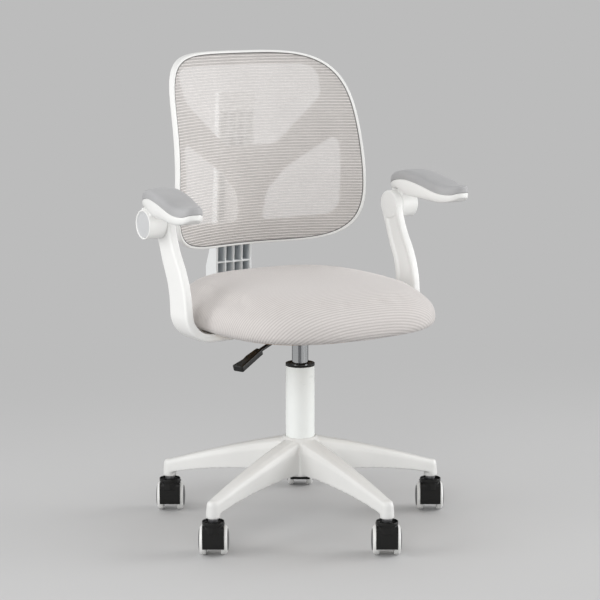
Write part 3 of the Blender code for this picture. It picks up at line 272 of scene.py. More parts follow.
def blend_colour(tree, amount, *colours):
    """A colour between two, by a socket; each is a colour or a socket."""
    sockets = {"Factor": amount}
    for place, colour in zip(MIX_COLOURS, colours):
        sockets[place] = colour if isinstance(colour, bpy.types.NodeSocket) else (*colour, 1)
    return add(tree, "ShaderNodeMix", sockets, data_type="RGBA")[MIX_RESULT]


print("wiring ready")

# %% Build the shared node groups
def group(name, inputs, kind="Shader"):
    """A new node group and its inputs; each input is a default number or a type of socket."""
    tree = bpy.data.node_groups.new(name, kind + "NodeTree")
    for label, value in inputs.items():
        typed = value if isinstance(value, str) else "Float"
        socket = tree.interface.new_socket(name=label, in_out="INPUT", socket_type="NodeSocket" + typed)
        if typed != value:
            socket.default_value = value
    return tree, add(tree, "NodeGroupInput")


def closed_group(tree, outputs, kind="Float"):
    """A group with its outputs fed."""
    for label in outputs:
        tree.interface.new_socket(name=label, in_out="OUTPUT", socket_type="NodeSocket" + kind)
    add(tree, "NodeGroupOutput", outputs)
    return tree


def place_group(tree, shared, **values):
    """A shared group in a material, with its named inputs as values or sockets."""
    sockets = {label.replace("_", " "): value for label, value in values.items()}
    return add(tree, "ShaderNodeGroup", sockets, node_tree=shared)


tree, given = group("moulded_grain", {"Grain scale": 900.0, "Cloud scale": 9.0})
place = place_in(tree)
clouds = ramp(tree, noise(tree, place, given["Cloud scale"], 3.0), 0.25, 0.75)
grain_group = closed_group(tree, {"Clouds": clouds, "Grain": noise(tree, place, given["Grain scale"], 1.0)})

tree, given = group("handling_scuffs", {"Scuff scale": 45.0, "Amount": 0.5})
place = place_in(tree)
streaks = stretched(tree, place, (1.0, 7.0, 7.0), (0.4, 0.7, 0.3))
streaks = ramp(tree, noise(tree, streaks, given["Scuff scale"], 4.0), 0.60, 0.75)
patches = ramp(tree, noise(tree, place, 14.0, 2.0), 0.50, 0.70)
sparse = maths(tree, "MULTIPLY", streaks, patches)
scuff_group = closed_group(tree, {"Scuffs": maths(tree, "MULTIPLY", sparse, given["Amount"])})


def wave(tree, kind, way, per_metre):
    turns = maths(tree, "MULTIPLY", way, per_metre)
    return maths(tree, kind, maths(tree, "MULTIPLY", turns, 2 * math.pi))


tree, given = group("ribbed_cloth", {"Along": 0.0, "Across": 0.0, "Ribs per metre": 200.0,
                                     "Threads per metre": 900.0})
rib = wave(tree, "COSINE", given["Across"], given["Ribs per metre"])
weft, warp = (wave(tree, "SINE", given[way], given["Threads per metre"]) for way in ("Along", "Across"))
waves = {"Rib": rib, "Thread": maths(tree, "MULTIPLY", weft, warp)}
waves = {label: maths(tree, "MULTIPLY_ADD", value, 0.5, 0.5) for label, value in waves.items()}
cloth_group = closed_group(tree, waves)
print("groups:", [shared.name for shared in (grain_group, scuff_group, cloth_group)])

# %% [markdown]
# ## Finishes
#
# The chair is white moulded resin with a few dark and metal pieces. One recipe makes all the plastics:
# two close tones mixed by the clouds, a roughness that wanders a little, a grain in the bump and a few
# scuffs. Only the numbers differ between the arms' white, the castors' black and the caps' grey.

# %% Mix the plastics
GLOSS_DRIFT, SCUFF_DULL, GRAIN_DEPTH = 0.04, 0.2, 0.00004


def srgb(*levels):
    """A colour picked as screen levels from 0 to 255, as the linear numbers a shader takes."""
    values = [level / 255 for level in levels]
    return [v / 12.92 if v <= 0.04045 else ((v + 0.055) / 1.055) ** 2.4 for v in values]


def tones(levels, drop):
    """A light tone, picked as screen levels, and one that is darker by some levels."""
    return srgb(*levels), srgb(*[level - drop for level in levels])


def blank(name):
    """A new material; gives back it, its tree and its Principled shader."""
    material = bpy.data.materials.new(name)
    material.use_nodes = True
    tree = material.node_tree
    return material, tree, tree.nodes["Principled BSDF"]


def relief(tree, height, distance, strength=1.0):
    """A bump by a height; gives back its normal."""
    sockets = {"Height": height, "Strength": strength, "Distance": distance}
    return add(tree, "ShaderNodeBump", sockets)["Normal"]


def plastic(name, levels, drop, gloss, grain=900.0, scuffs=0.3, scuff_tone=None, shine=0.5):
    """Moulded resin or paint: clouds in tone and gloss, a fine grain, sparse scuffs."""
    material, tree, shader = blank(name)
    light, dark = tones(levels, drop)
    surface = place_group(tree, grain_group, Grain_scale=grain, Cloud_scale=9.0)
    marks = place_group(tree, scuff_group, Scuff_scale=45.0, Amount=scuffs)["Scuffs"]
    tone = blend_colour(tree, surface["Clouds"], dark, light)
    base_gloss = spread(tree, surface["Clouds"], gloss + GLOSS_DRIFT, gloss - GLOSS_DRIFT)
    feed(tree, shader, {
        "Base Color": blend_colour(tree, marks, tone, scuff_tone or [0.8 * v for v in dark]),
        "Roughness": maths(tree, "ADD", base_gloss, maths(tree, "MULTIPLY", marks, SCUFF_DULL)),
        "Specular IOR Level": shine,
        "Normal": relief(tree, surface["Grain"], GRAIN_DEPTH)})
    return material


def tint(material, mask, tone):
    """Lay a tone over a finished material by a mask in its tree."""
    tree = material.node_tree
    shader = tree.nodes["Principled BSDF"]
    plain = shader.inputs["Base Color"].links[0].from_socket
    feed(tree, shader, {"Base Color": blend_colour(tree, mask, plain, tone)})


WHITE = ((243, 243, 241), 5, 0.42)
white_resin = plastic("white_resin", *WHITE)
# Painted shade: the base's white is set darker than the other mouldings' white, for the shade under the seat.
base_white_shaded = plastic("white_base_resin", (229, 229, 227), 6, 0.40, scuffs=0.5)
white_paint = plastic("white_tube_paint", (245, 248, 246), 5, 0.30, grain=1600.0)
wheel_white = plastic("wheel_white", (240, 240, 238), 10, 0.45, scuffs=0.8)
black_resin = plastic("black_resin", (16, 16, 15), 5, 0.36, scuff_tone=srgb(38, 38, 37), shine=0.36)
black_steel = plastic("black_painted_steel", (26, 26, 27), 8, 0.45, grain=500.0)
hub_grey = plastic("wheel_disc_grey", (98, 99, 101), 10, 0.38)
cap_grey = plastic("cap_grey", (204, 205, 206), 7, 0.40)
strip_grey = plastic("edge_strip_grey", (96, 94, 93), 12, 0.55)
print("plastics mixed")

# %% [markdown]
# ## Metals, wood and foam
#
# The gas lift is polished chrome: its colour is all reflection, with faint polishing lines round it.
# The bolts and the axle are dark zinc steel. The board under the cushion is plywood, with rings drawn
# out along its length. The arm pads are self-skinned foam with a soft leather-like grain.

# %% Mix the other finishes
def metal(name, light, dark, gloss, lines):
    material, tree, shader = blank(name)
    polish = noise(tree, stretched(tree, place_in(tree), (1, 1, lines)), 40.0, 3.0)
    feed(tree, shader, {
        "Metallic": 1.0,
        "Base Color": blend_colour(tree, polish, dark, light),
        "Roughness": spread(tree, polish, gloss - 0.02, gloss + 0.05),
        "Normal": relief(tree, polish, 0.00001, 0.4)})
    return material


chrome = metal("polished_chrome", (0.66, 0.67, 0.68), (0.58, 0.59, 0.60), 0.10, 40.0)
dark_steel = metal("dark_zinc_steel", (0.34, 0.34, 0.35), (0.24, 0.24, 0.25), 0.34, 12.0)

plywood, tree, shader = blank("seat_plywood")
figure = noise(tree, stretched(tree, place_in(tree), (2.0, 18.0, 18.0)), 6.0, 6.0)
rings = ramp(tree, figure, 0.35, 0.65)
feed(tree, shader, {
    "Base Color": blend_colour(tree, rings, srgb(190, 150, 108), srgb(222, 190, 150)),
    "Roughness": spread(tree, figure, 0.55, 0.7),
    "Normal": relief(tree, figure, 0.0002, 0.5)})

pad_foam, tree, shader = blank("arm_pad_skin")
surface = place_group(tree, grain_group, Grain_scale=650.0, Cloud_scale=14.0)
feed(tree, shader, {
    "Base Color": blend_colour(tree, surface["Clouds"], srgb(165, 165, 166), srgb(174, 174, 175)),
    "Roughness": spread(tree, surface["Clouds"], 0.62, 0.52),
    "Normal": relief(tree, surface["Grain"], 0.00012),
    "Sheen Weight": 0.15})
print("metals, wood and foam mixed")

# %% [markdown]
# ## Cloth
#
# Seat and back wear the same ribbed weave: raised cords about 5 mm apart, bound by a fine thread. On
# the cushion the cords run from side to side, so the pattern reads a UV map that is rolled out from
# the middle of the top. The back is a see-through mesh: its cords are real tubes, and the ground
# between them lets some of the view behind come through.

# %% Weave the cloth
RIB_PITCH, SLANT_SHADE = 0.0050, 0.03


def weave(tree, along, across_ribs, threads):
    return place_group(tree, cloth_group, Along=along, Across=across_ribs, Ribs_per_metre=1 / RIB_PITCH,
                       Threads_per_metre=threads)


seat_cloth, tree, shader = blank("seat_ribbed_cloth")
parts = split(tree, add(tree, "ShaderNodeUVMap", uv_map="rolled_out")["UV"])
seat_weave = weave(tree, parts["X"], parts["Y"], 1100.0)
surface = place_group(tree, grain_group, Grain_scale=420.0, Cloud_scale=16.0)
# Painted shade and highlight: the rib crests take a lighter tone and the troughs a darker one.
crest = ramp(tree, seat_weave["Rib"], 0.1, 0.75)
rib_shaded_tone = blend_colour(tree, crest, srgb(193, 188, 185), srgb(214, 209, 206))
speckle = maths(tree, "MULTIPLY", surface["Grain"], 0.22)
feed(tree, shader, {
    "Base Color": blend_colour(tree, speckle, rib_shaded_tone, srgb(192, 186, 184)),
    "Roughness": spread(tree, surface["Clouds"], 0.88, 0.80),
    "Normal": relief(tree, seat_weave["Thread"], 0.0001, 0.6),
    "Sheen Weight": 0.25,
    "Sheen Roughness": 0.5})


def back_cloth(name, levels, drop, opening):
    """Mesh cloth on Object coordinates; opening is how much shows through. The weave is as thick as its
    holes are wide, so of the slanting light of the lamps only a share gets through."""
    material, tree, shader = blank(name)
    light, dark = tones(levels, drop)
    parts = split(tree, place_in(tree))
    thread = weave(tree, parts["X"], parts["Z"], 800.0)["Thread"]
    clouds = place_group(tree, grain_group, Grain_scale=500.0, Cloud_scale=20.0)["Clouds"]
    tone = blend_colour(tree, clouds, dark, light)
    feed(tree, shader, {
        "Base Color": blend_colour(tree, maths(tree, "MULTIPLY", thread, 0.3), tone, dark),
        "Roughness": spread(tree, clouds, 0.82, 0.72),
        "Normal": relief(tree, thread, 0.0002, 0.6),
        "Sheen Weight": 0.2})
    if opening:
        lamp_light = add(tree, "ShaderNodeLightPath")["Is Shadow Ray"]
        holes = spread(tree, thread, 1.5 * opening, 0.5 * opening)
        passed = maths(tree, "MULTIPLY", holes, spread(tree, lamp_light, 1.0, SLANT_SHADE))
        feed(tree, shader, {"Alpha": maths(tree, "SUBTRACT", 1.0, passed)})
    return material


mesh_ground = back_cloth("back_mesh_ground", (244, 239, 236), 7, 0.53)
mesh_cords = back_cloth("back_mesh_cords", (243, 239, 236), 6, 0.0)
print("cloth woven, rib pitch", RIB_PITCH)

# %% [markdown]
# ## Studio
#
# A pale grey floor runs on for metres, under an even sky and four large soft lamps. Far from the
# chair the floor shows the camera its plain colour, so the light pool round the chair leaves no edge.
# The camera stands to the chair's front left and a little above the seat, behind a long lens.
#
# Chrome only shows what is around it, and in an even room it looks like grey paint. So two dark cards
# and a pale one stand on the floor, as in a product studio. They show in reflections alone: the camera
# doesn't see them, and they neither shade the chair nor colour it.

# %% Set the camera and the lamps
stage = bpy.context.scene
stage.view_settings.view_transform = "Standard"

camera = bpy.data.cameras.new("camera")
camera.lens = 120
camera.sensor_width = 36
viewer = workpiece(camera, "camera")
viewer.location = (-1.827, -2.813, 0.987)
viewer.rotation_euler = (math.radians(90 - 10.04), 0, math.radians(-33))
stage.camera = viewer

AIM = Vector((0, 0, 0.4))
LAMPS = (("key", (-2.6, -2.4, 1.6), 2.2, 43), ("side", (-3.2, 0.6, 1.3), 2.4, 42),
         ("fill", (3.1, -1.6, 1.1), 2.6, 82), ("top", (0.2, 0.8, 3.4), 2.4, 4))
for name, spot, size, power in LAMPS:
    light = bpy.data.lights.new(name, "AREA")
    light.shape = "DISK"
    light.size = size
    light.energy = power
    lamp = workpiece(light, name)
    lamp.location = spot
    lamp.rotation_euler = (AIM - Vector(spot)).to_track_quat("-Z", "Y").to_euler()
print("lamps:", [row[0] for row in LAMPS])

# %% Lay the floor under the sky
FLOOR_TONE, PAPER_TONE, BOUNCE_TONE = (srgb(level, level, level) for level in (188, 202, 172))
SKY_STRENGTH, GLOW_START, GLOW_FULL, FLOOR_REACH = 0.60, 0.3, 1.7, 60


def seen_directly(tree):
    """1 where the camera, a mirror or glass looks, 0 where light only bounces."""
    path = add(tree, "ShaderNodeLightPath")
    mirrored = maths(tree, "MAXIMUM", path["Is Glossy Ray"], path["Is Transmission Ray"])
    return maths(tree, "MAXIMUM", path["Is Camera Ray"], mirrored)


def mixed(tree, amount, first, second):
    return add(tree, "ShaderNodeMixShader", {0: amount, 1: first, 2: second})["Shader"]


world = bpy.data.worlds.new("studio")
world.use_nodes = True
stage.world = world
tree = world.node_tree
sky = tree.nodes["Background"]
feed(tree, sky, {"Color": (1, 1, 1, 1), "Strength": SKY_STRENGTH})
wall = add(tree, "ShaderNodeBackground", {"Color": (*FLOOR_TONE, 1)})["Background"]
room = mixed(tree, seen_directly(tree), sky.outputs["Background"], wall)
feed(tree, tree.nodes["World Output"], {"Surface": room})

floor_paper, tree, shader = blank("floor_paper")
place = place_in(tree)
fibre = noise(tree, place, 300.0, 2.0)
floor_tone = blend_colour(tree, fibre, [0.985 * v for v in PAPER_TONE], PAPER_TONE)
floor_tone = blend_colour(tree, seen_directly(tree), BOUNCE_TONE, floor_tone)
feed(tree, shader, {"Base Color": floor_tone, "Roughness": 0.9, "Specular IOR Level": 0.1})
far_glow = add(tree, "ShaderNodeEmission", {"Color": (*FLOOR_TONE, 1)})["Emission"]
reach = add(tree, "ShaderNodeVectorMath", {0: place}, operation="LENGTH")["Value"]
far_away = maths(tree, "MULTIPLY", ramp(tree, reach, GLOW_START, GLOW_FULL), seen_directly(tree))
paper = mixed(tree, far_away, shader.outputs["BSDF"], far_glow)
feed(tree, tree.nodes["Material Output"], {"Surface": paper})


def stand(name, corners, finish):
    """A flat piece of the studio through four corners."""
    mesh = bpy.data.meshes.new(name)
    mesh.from_pydata(corners, [], [(0, 1, 2, 3)])
    mesh.materials.append(finish)
    thing = workpiece(mesh, name)
    return thing


ends = ((-1, -1), (1, -1), (1, 1), (-1, 1))
stand("floor", [(FLOOR_REACH * x, FLOOR_REACH * y, 0) for x, y in ends], floor_paper)
print("floor laid")

# %% Stand up the cards that the chrome reflects
CARD_DISTANCE, CARD_HEIGHT = 1.0, 0.7
CARDS = (("card_front", -128, 22, (140, 140, 142), 8), ("card_rear", 57, 48, (112, 112, 114), 8),
         ("card_pale", -61, 10, (240, 240, 240), 6))
for name, facing, half_angle, levels, drop in CARDS:
    way = Vector((math.cos(math.radians(facing)), math.sin(math.radians(facing)), 0))
    aside = Vector((-way.y, way.x, 0)) * math.tan(math.radians(half_angle)) * CARD_DISTANCE
    foot, rise = way * CARD_DISTANCE, Vector((0, 0, CARD_HEIGHT))
    corners = [foot - aside, foot + aside, foot + aside + rise, foot - aside + rise]
    card = stand(name, corners, plastic(name + "_felt", levels, drop, 0.9))
    card.visible_camera = False
    card.visible_diffuse = False
    card.visible_shadow = False
print("cards stood up")

# %% [markdown]
# ## Seat cushion
#
# The seat is a foam crown wrapped in ribbed cloth that is pulled under the board and stapled. A crowned
# loft gives the form that the upholsterer cuts; then a cloth simulation with a little air pressure
# swells it against its tacked underside, as foam fills a cover. How far a point may move is capped, so
# that the cushion keeps to the space of its solid.

# %% Cut the cushion's form
SEAT_HALF_WIDTH, SEAT_HALF_DEPTH, SEAT_CENTRE_Y = 0.200, 0.214, -0.006
SEAT_POWER, CROWN_POWER, FORM_VOXEL = 3.0, 2.7, 0.005
DRAWN_IN, TUCK, CROWN_SLACK, WAIST_RISE, TUCK_RISE = 0.012, 0.002, 0.005, 0.012, 0.005
CROWN_TURNS = (0, 10, 20, 30, 40, 50, 60, 68, 75, 81, 86, 89)
seat_low, seat_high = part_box("seat_cushion")
board_low, board_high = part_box("seat_board")
SEAT_BOTTOM, SEAT_TOP = seat_low.z, seat_high.z
WAIST = SEAT_BOTTOM + WAIST_RISE


def oval(half_x, half_y, power, angles):
    """Points on a rounded square of the given half sizes."""
    c, s = np.cos(angles), np.sin(angles)
    return half_x * np.sign(c) * np.abs(c) ** (2 / power), half_y * np.sign(s) * np.abs(s) ** (2 / power)


def walked(x, y):
    """The way along a line, up to each of its points."""
    return np.concatenate(([0], np.cumsum(np.hypot(np.diff(x), np.diff(y)))))


def even_angles(half_x, half_y, power, count):
    """Angles at which an oval's points lie evenly along its edge."""
    dense = np.linspace(0, 2 * math.pi, 20001)
    way = walked(*oval(half_x, half_y, power, dense))
    return np.interp(np.arange(count) / count * way[-1], way, dense)


def both_sides(points):
    """Points on the right, then their mirror images on the left in reverse order."""
    return points + [(-point[0], *point[1:]) for point in reversed(points)]


angles = even_angles(SEAT_HALF_WIDTH, SEAT_HALF_DEPTH, SEAT_POWER, 120)


def cushion_ring(shrink, z, share=1):
    x, y = oval((SEAT_HALF_WIDTH - shrink) * share, (SEAT_HALF_DEPTH - shrink) * share, SEAT_POWER, angles)
    return [(a, b + SEAT_CENTRE_Y, z) for a, b in zip(x, y)]


rings = [cushion_ring(DRAWN_IN, SEAT_BOTTOM), cushion_ring(0.25 * DRAWN_IN + TUCK, SEAT_BOTTOM + TUCK_RISE)]
for turn in np.radians(CROWN_TURNS):
    share, rise = math.cos(turn) ** (2 / CROWN_POWER), math.sin(turn) ** (2 / CROWN_POWER)
    rings.append(cushion_ring(TUCK, WAIST + (SEAT_TOP - CROWN_SLACK - WAIST) * rise, share))
even_skin = ("REMESH", {"mode": "VOXEL", "voxel_size": FORM_VOXEL})
cushion_mesh = worked(skin(rings, "cushion_form"), "cushion_form", even_skin)
print("cushion form:", len(cushion_mesh.vertices), "points")

# %% Swell it as a stuffed cover
SWELL_CAP, SWELL_FRAMES, PRESSURE, TACKED_RISE = 0.007, 20, 4.0, 0.004


def listed(items, label, size=3, kind=float):
    """A property of every item as an array, a row for each."""
    flat = np.empty(len(items) * size, dtype=kind)
    items.foreach_get(label, flat)
    return flat.reshape(-1, size)


def put_points(mesh, points):
    mesh.vertices.foreach_set("co", points.astype(np.float32).ravel())
    mesh.update()


def swollen(mesh):
    """The mesh after a run of cloth under pressure; points only move outwards, no further than the cap."""
    thing = workpiece(mesh, "stuffed_cover")
    before, outwards = listed(mesh.vertices, "co"), listed(mesh.vertices, "normal")
    tacks = thing.vertex_groups.new(name="tacked")
    low_down = np.nonzero(before[:, 2] < SEAT_BOTTOM + TACKED_RISE)[0]
    tacks.add([int(i) for i in low_down], 1.0, "REPLACE")
    cover = thing.modifiers.new("stuffing", "CLOTH")
    cover.settings.quality = 5
    cover.settings.use_pressure = True
    cover.settings.uniform_pressure_force = PRESSURE
    cover.settings.effector_weights.gravity = 0
    cover.settings.vertex_group_mass = "tacked"
    cover.point_cache.frame_start = 1
    cover.point_cache.frame_end = SWELL_FRAMES
    for step in range(SWELL_FRAMES):
        stage.frame_set(step + 1)
    result = baked(thing)
    stage.frame_set(1)
    move = np.sum((listed(result.vertices, "co") - before) * outwards, axis=1, keepdims=True)
    put_points(result, before + outwards * np.clip(move, 0, SWELL_CAP))
    return result, float(move.max())


cushion_mesh, furthest = swollen(cushion_mesh)
print("cushion swelled by up to", round(1000 * furthest, 1), "mm before the cap")
finer = ("SUBSURF", {"levels": 1, "render_levels": 1})
cushion_mesh = worked(cushion_mesh, "smooth_cover", ("SMOOTH", {"iterations": 4}), finer)

# %% [markdown]
# The ribs are real. First the cloth is rolled out flat: every point of the swollen form gets the length of
# cloth from the middle of the top, in its own direction. Then the cover is woven row by row. A row runs
# along a rib at one height of the flat cloth, from tacked edge to tacked edge, and goes back under the
# seat round the board. The flat cloth tells where each of its points lies on the form.

# %% Roll out the cloth
points = listed(cushion_mesh.vertices, "co")
x, y = points[:, 0], points[:, 1] - SEAT_CENTRE_Y
around = np.arctan2(y, x)


def edge_reach(turn):
    """How far the cushion reaches from its middle in a direction."""
    wide = (np.abs(np.cos(turn)) / SEAT_HALF_WIDTH) ** SEAT_POWER
    pocket_shade = (np.abs(np.sin(turn)) / SEAT_HALF_DEPTH) ** SEAT_POWER
    return (wide + pocket_shade) ** (-1 / SEAT_POWER)


edge = edge_reach(around)
share = np.clip(np.hypot(x, y) / edge, 0, 1)
rise = np.clip((points[:, 2] - WAIST) / (SEAT_TOP - WAIST), 0, 1)
turn = np.arctan2(rise ** (CROWN_POWER / 2), share ** (CROWN_POWER / 2))
steps = np.linspace(0, math.pi / 2, 400)
out, up = np.cos(steps) ** (2 / CROWN_POWER), (SEAT_TOP - WAIST) * np.sin(steps) ** (2 / CROWN_POWER)
widths = np.linspace(edge.min(), edge.max(), 8)
ways = [walked(width * out, up) for width in widths]
lengths = [way[-1] for way in ways]
walks = np.array([np.interp(turn, steps, way[-1] - way) for way in ways])
spot = (edge - widths[0]) / (widths[1] - widths[0])
lower = np.clip(spot.astype(int), 0, len(widths) - 2)
column = np.arange(len(points))
rolled = walks[lower, column] + (spot - lower) * (walks[lower + 1, column] - walks[lower, column])
rolled += np.clip(WAIST - points[:, 2], 0, None)
flat = np.stack((rolled * np.cos(around), rolled * np.sin(around), np.zeros(len(points))), axis=1)

cushion_mesh.calc_loop_triangles()
triangles = listed(cushion_mesh.loop_triangles, "vertices", 3, np.int32)


def crossed(places):
    """Each triangle's normal, as long as twice its area."""
    a, b, c = (places[triangles[:, corner]] for corner in range(3))
    return np.cross(b - a, c - a)


laid, raised = crossed(flat), crossed(points)
size = np.linalg.norm(raised, axis=1)
covered = (laid[:, 2] > 0.2 * size) & (raised[:, 2] > -0.95 * size)
triangles = triangles[covered].tolist()
cloth, form = ([Vector(place) for place in places] for places in (flat, points))
looks = [vertex.normal.copy() for vertex in cushion_mesh.vertices]
flat_cloth = BVHTree.FromPolygons(cloth, triangles)
print("flat cloth:", len(triangles), "triangles")

# %% Weave the cover along its ribs
ROWS_PER_RIB, ROW_POINTS, RIB_HEIGHT, HEM = 4, 97, 0.0005, 0.0017
BOARD_CLEARANCE, LIP, STEP, HEM_SPACE = 0.0008, 0.004, 0.0003, 0.0012
END_FADE, EDGE_FADE, RIB_BIAS = 0.02, 0.004, 0.1
board_x = (board_high.x - board_low.x) / 2 + BOARD_CLEARANCE
board_y = (board_high.y - board_low.y) / 2 + BOARD_CLEARANCE


def tacked_edge(turn):
    """Length of cloth from the middle of the top to the tacked edge, in a direction."""
    return np.interp(edge_reach(turn), widths, lengths) + WAIST - SEAT_BOTTOM - HEM


def on_form(u, v, lift):
    """A point of the flat cloth on the swollen form, lifted off it."""
    spot, up, face, distance = flat_cloth.find_nearest((u, v, 0))
    a, b, c = triangles[face]
    across_ab, across_ac, inside = cloth[b] - cloth[a], cloth[c] - cloth[a], spot - cloth[a]
    whole = across_ab.x * across_ac.y - across_ab.y * across_ac.x
    to_b = min(max((inside.x * across_ac.y - inside.y * across_ac.x) / whole, 0.0), 1.0)
    to_c = min(max((across_ab.x * inside.y - across_ab.y * inside.x) / whole, 0.0), 1.0 - to_b)
    place, outwards = (at[a] + (at[b] - at[a]) * to_b + (at[c] - at[a]) * to_c for at in (form, looks))
    return place + outwards.normalized() * float(lift)


def under_seat(end, y):
    """The way back under the seat: along the bottom to the board, up, over it and down again."""
    inside = 1 - abs((y - SEAT_CENTRE_Y) / board_y) ** SEAT_POWER
    lip = min(board_x * max(inside, 0) ** (1 / SEAT_POWER) + LIP, 0.9 * end)
    ceiling = (board_high.z if inside > 0 else SEAT_BOTTOM) + STEP
    return both_sides([(lip, y, SEAT_BOTTOM), (lip, y, ceiling), (lip / 3, y, ceiling)])


reach_v = float(tacked_edge(math.pi / 2)) - STEP
count = int((reach_v - HEM_SPACE) / RIB_PITCH * ROWS_PER_RIB)
hem_rows = reach_v - np.array([0.0009, 0.0006, 0.0004, 0.0002, 0])
rows_v = np.arange(-count, count + 1) * RIB_PITCH / ROWS_PER_RIB
rows_v = np.concatenate((-hem_rows[::-1], rows_v, hem_rows))
rows_u, beyond = np.zeros(len(rows_v)), np.full(len(rows_v), 0.5)
for halving in range(40):
    middle = (rows_u + beyond) / 2
    short = np.hypot(middle, rows_v) < tacked_edge(np.arctan2(rows_v, middle))
    rows_u, beyond = np.where(short, middle, rows_u), np.where(short, beyond, middle)
rings, cover_uv = [], []
for u_end, v in zip(rows_u, rows_v):
    crest = 0.5 * math.cos(2 * math.pi * v / RIB_PITCH) + RIB_BIAS
    row = []
    for s in np.linspace(-1, 1, ROW_POINTS):
        fade = min(1.0, (1 - abs(s)) / END_FADE, (reach_v - abs(v)) / EDGE_FADE)
        row.append(tuple(on_form(s * u_end, v, RIB_HEIGHT * crest * fade)))
        cover_uv.append((s * u_end, v))
    rings.append(row + under_seat(row[-1][0], (row[0][1] + row[-1][1]) / 2))
    cover_uv += [(u_end, v)] * 3 + [(-u_end, v)] * 3
cover_mesh = skin(rings, "seat_cushion_cover")
corners = listed(cover_mesh.loops, "vertex_index", 1, np.int32).ravel()
layer = cover_mesh.uv_layers.new(name="rolled_out")
layer.data.foreach_set("uv", np.array(cover_uv, dtype=np.float32)[corners].ravel())
cushion = show(cover_mesh, "seat_cushion_cover", "seat", seat_cloth, ["seat_cushion"], 55)
print("cushion:", len(rings), "rows,", len(cover_mesh.polygons), "faces")

# %% [markdown]
# ## Back hoop and shell
#
# The hoop is a thin rim that curves two ways: it leans away above and below the small of the back and
# wraps forward at the sides. Its section is carried round the outline ring by ring. The Y-shaped shell
# behind it starts as a flat plate with three windows, is given an even skin and is then bent onto the
# back's surface, which keeps the windows' edges smooth.

# %% Roll the hoop
BACK_WIDTH, BACK_HEIGHT, BACK_POWER, BACK_TAPER = 0.374, 0.337, 4.6, 0.053
RIM_WALL, RIM_DEPTH, EDGE, SHELL_WALL = 0.0038, 0.016, 0.0014, 0.004
LEAN_RADIUS, WRAP_RADIUS = 0.38, 0.27
frame_low, frame_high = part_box("back_frame")
BACK_BOTTOM, BACK_TOP = frame_low.z, frame_high.z
BACK_CENTRE = (BACK_BOTTOM + BACK_TOP) / 2
LUMBAR_Z, LUMBAR_Y = BACK_BOTTOM + 0.121, 0.144


def back_y(x, z):
    """The front surface of the backrest."""
    return LUMBAR_Y + (z - LUMBAR_Z) ** 2 / (2 * LEAN_RADIUS) - x ** 2 / (2 * WRAP_RADIUS)


def hoop_line(inset, count, scale=1.0):
    """The back's outline, drawn in by inset, as even points in arrays of x and z."""
    angles = even_angles(BACK_WIDTH / 2, BACK_HEIGHT / 2, BACK_POWER, count)
    x, z = oval(BACK_WIDTH / 2 - inset, BACK_HEIGHT / 2 - inset, BACK_POWER, angles)
    x, z = scale * x, scale * z
    return x * (1 - BACK_TAPER * 2 * z / BACK_HEIGHT), BACK_CENTRE + z


def on_back(inset, depth, count, scale=1.0):
    x, z = hoop_line(inset, count, scale)
    return np.stack((x, back_y(x, z) + depth, z), axis=1)


HOOP_POINTS = 420
inner, front, rear = RIM_WALL - EDGE, EDGE, RIM_DEPTH - EDGE
section = []
for inset, depth, start in ((inner, front, 0), (EDGE, front, 90), (EDGE, rear, 180), (inner, rear, 270)):
    for turn in quarter(4, math.radians(start)):
        section.append((inset + EDGE * math.cos(turn), depth - EDGE * math.sin(turn)))
loops = [on_back(inset, depth, HOOP_POINTS) for inset, depth in section]
hoop_mesh = skin(np.stack(loops, axis=1).tolist(), "hoop", looped=True)
print("hoop:", len(hoop_mesh.polygons), "faces")

# %% Cut the shell's windows and bend it
def rounded(corners, steps=10):
    """A polygon of (u, v, radius) corners with each corner rounded."""
    outline = []
    for i, (u, v, radius) in enumerate(corners):
        here = Vector((u, v))
        back = Vector(corners[i - 1][:2]) - here
        ahead = Vector(corners[(i + 1) % len(corners)][:2]) - here
        trim = min(radius / math.tan(back.angle(ahead) / 2), 0.45 * back.length, 0.45 * ahead.length)
        first, last = here + back.normalized() * trim, here + ahead.normalized() * trim
        for k in range(steps + 1):
            t = k / steps
            outline.append(first * (1 - t) ** 2 + here * 2 * t * (1 - t) + last * t ** 2)
    return [(point.x, point.y) for point in outline]


half = BACK_WIDTH / 2
wide, fork, shoulder, top = half - 0.049, BACK_BOTTOM + 0.176, BACK_TOP - 0.080, BACK_TOP - 0.026
right = [(0.050, fork, 0.035), (wide, shoulder, 0.03), (wide + 0.004, top, 0.032)]
side, stem, low, high = half - 0.030, 0.026, BACK_BOTTOM + 0.042, BACK_BOTTOM + 0.192
lower = [(stem, low, 0.010), (side, low + 0.006, 0.030), (side, high, 0.012)]
lower += [(stem + 0.038, high - 0.062, 0.045), (stem + 0.004, high - 0.100, 0.045)]
windows = [rounded(both_sides(right)), rounded(lower), rounded([(-x, z, radius) for x, z, radius in lower])]

outline = bpy.data.curves.new("shell_outline", "CURVE")
outline.dimensions = "2D"
outline.fill_mode = "BOTH"
outline.extrude = SHELL_WALL / 2
for loop in [list(zip(*hoop_line(0.5 * RIM_WALL, HOOP_POINTS)))] + windows:
    spline = outline.splines.new("POLY")
    spline.points.add(len(loop) - 1)
    for point, (u, v) in zip(spline.points, loop):
        point.co = (u, v, 0, 1)
    spline.use_cyclic_u = True
plate = closed(opened(baked(workpiece(outline, "shell_plate")), merged=True), "shell_plate")
shell_mesh = moulded(plate, "shell", voxel=0.0020, rounds=3)
x, z, height = listed(shell_mesh.vertices, "co").T
# Painted shade: the shell's face towards the mesh takes the grey, and its back stays white.
shell_shade = np.clip(2 * height / SHELL_WALL, 0, 1)
depth = RIM_DEPTH - SHELL_WALL / 2 - height
put_points(shell_mesh, np.stack((x, back_y(x, z) + depth, z), axis=1))
print("shell:", len(shell_mesh.polygons), "faces")
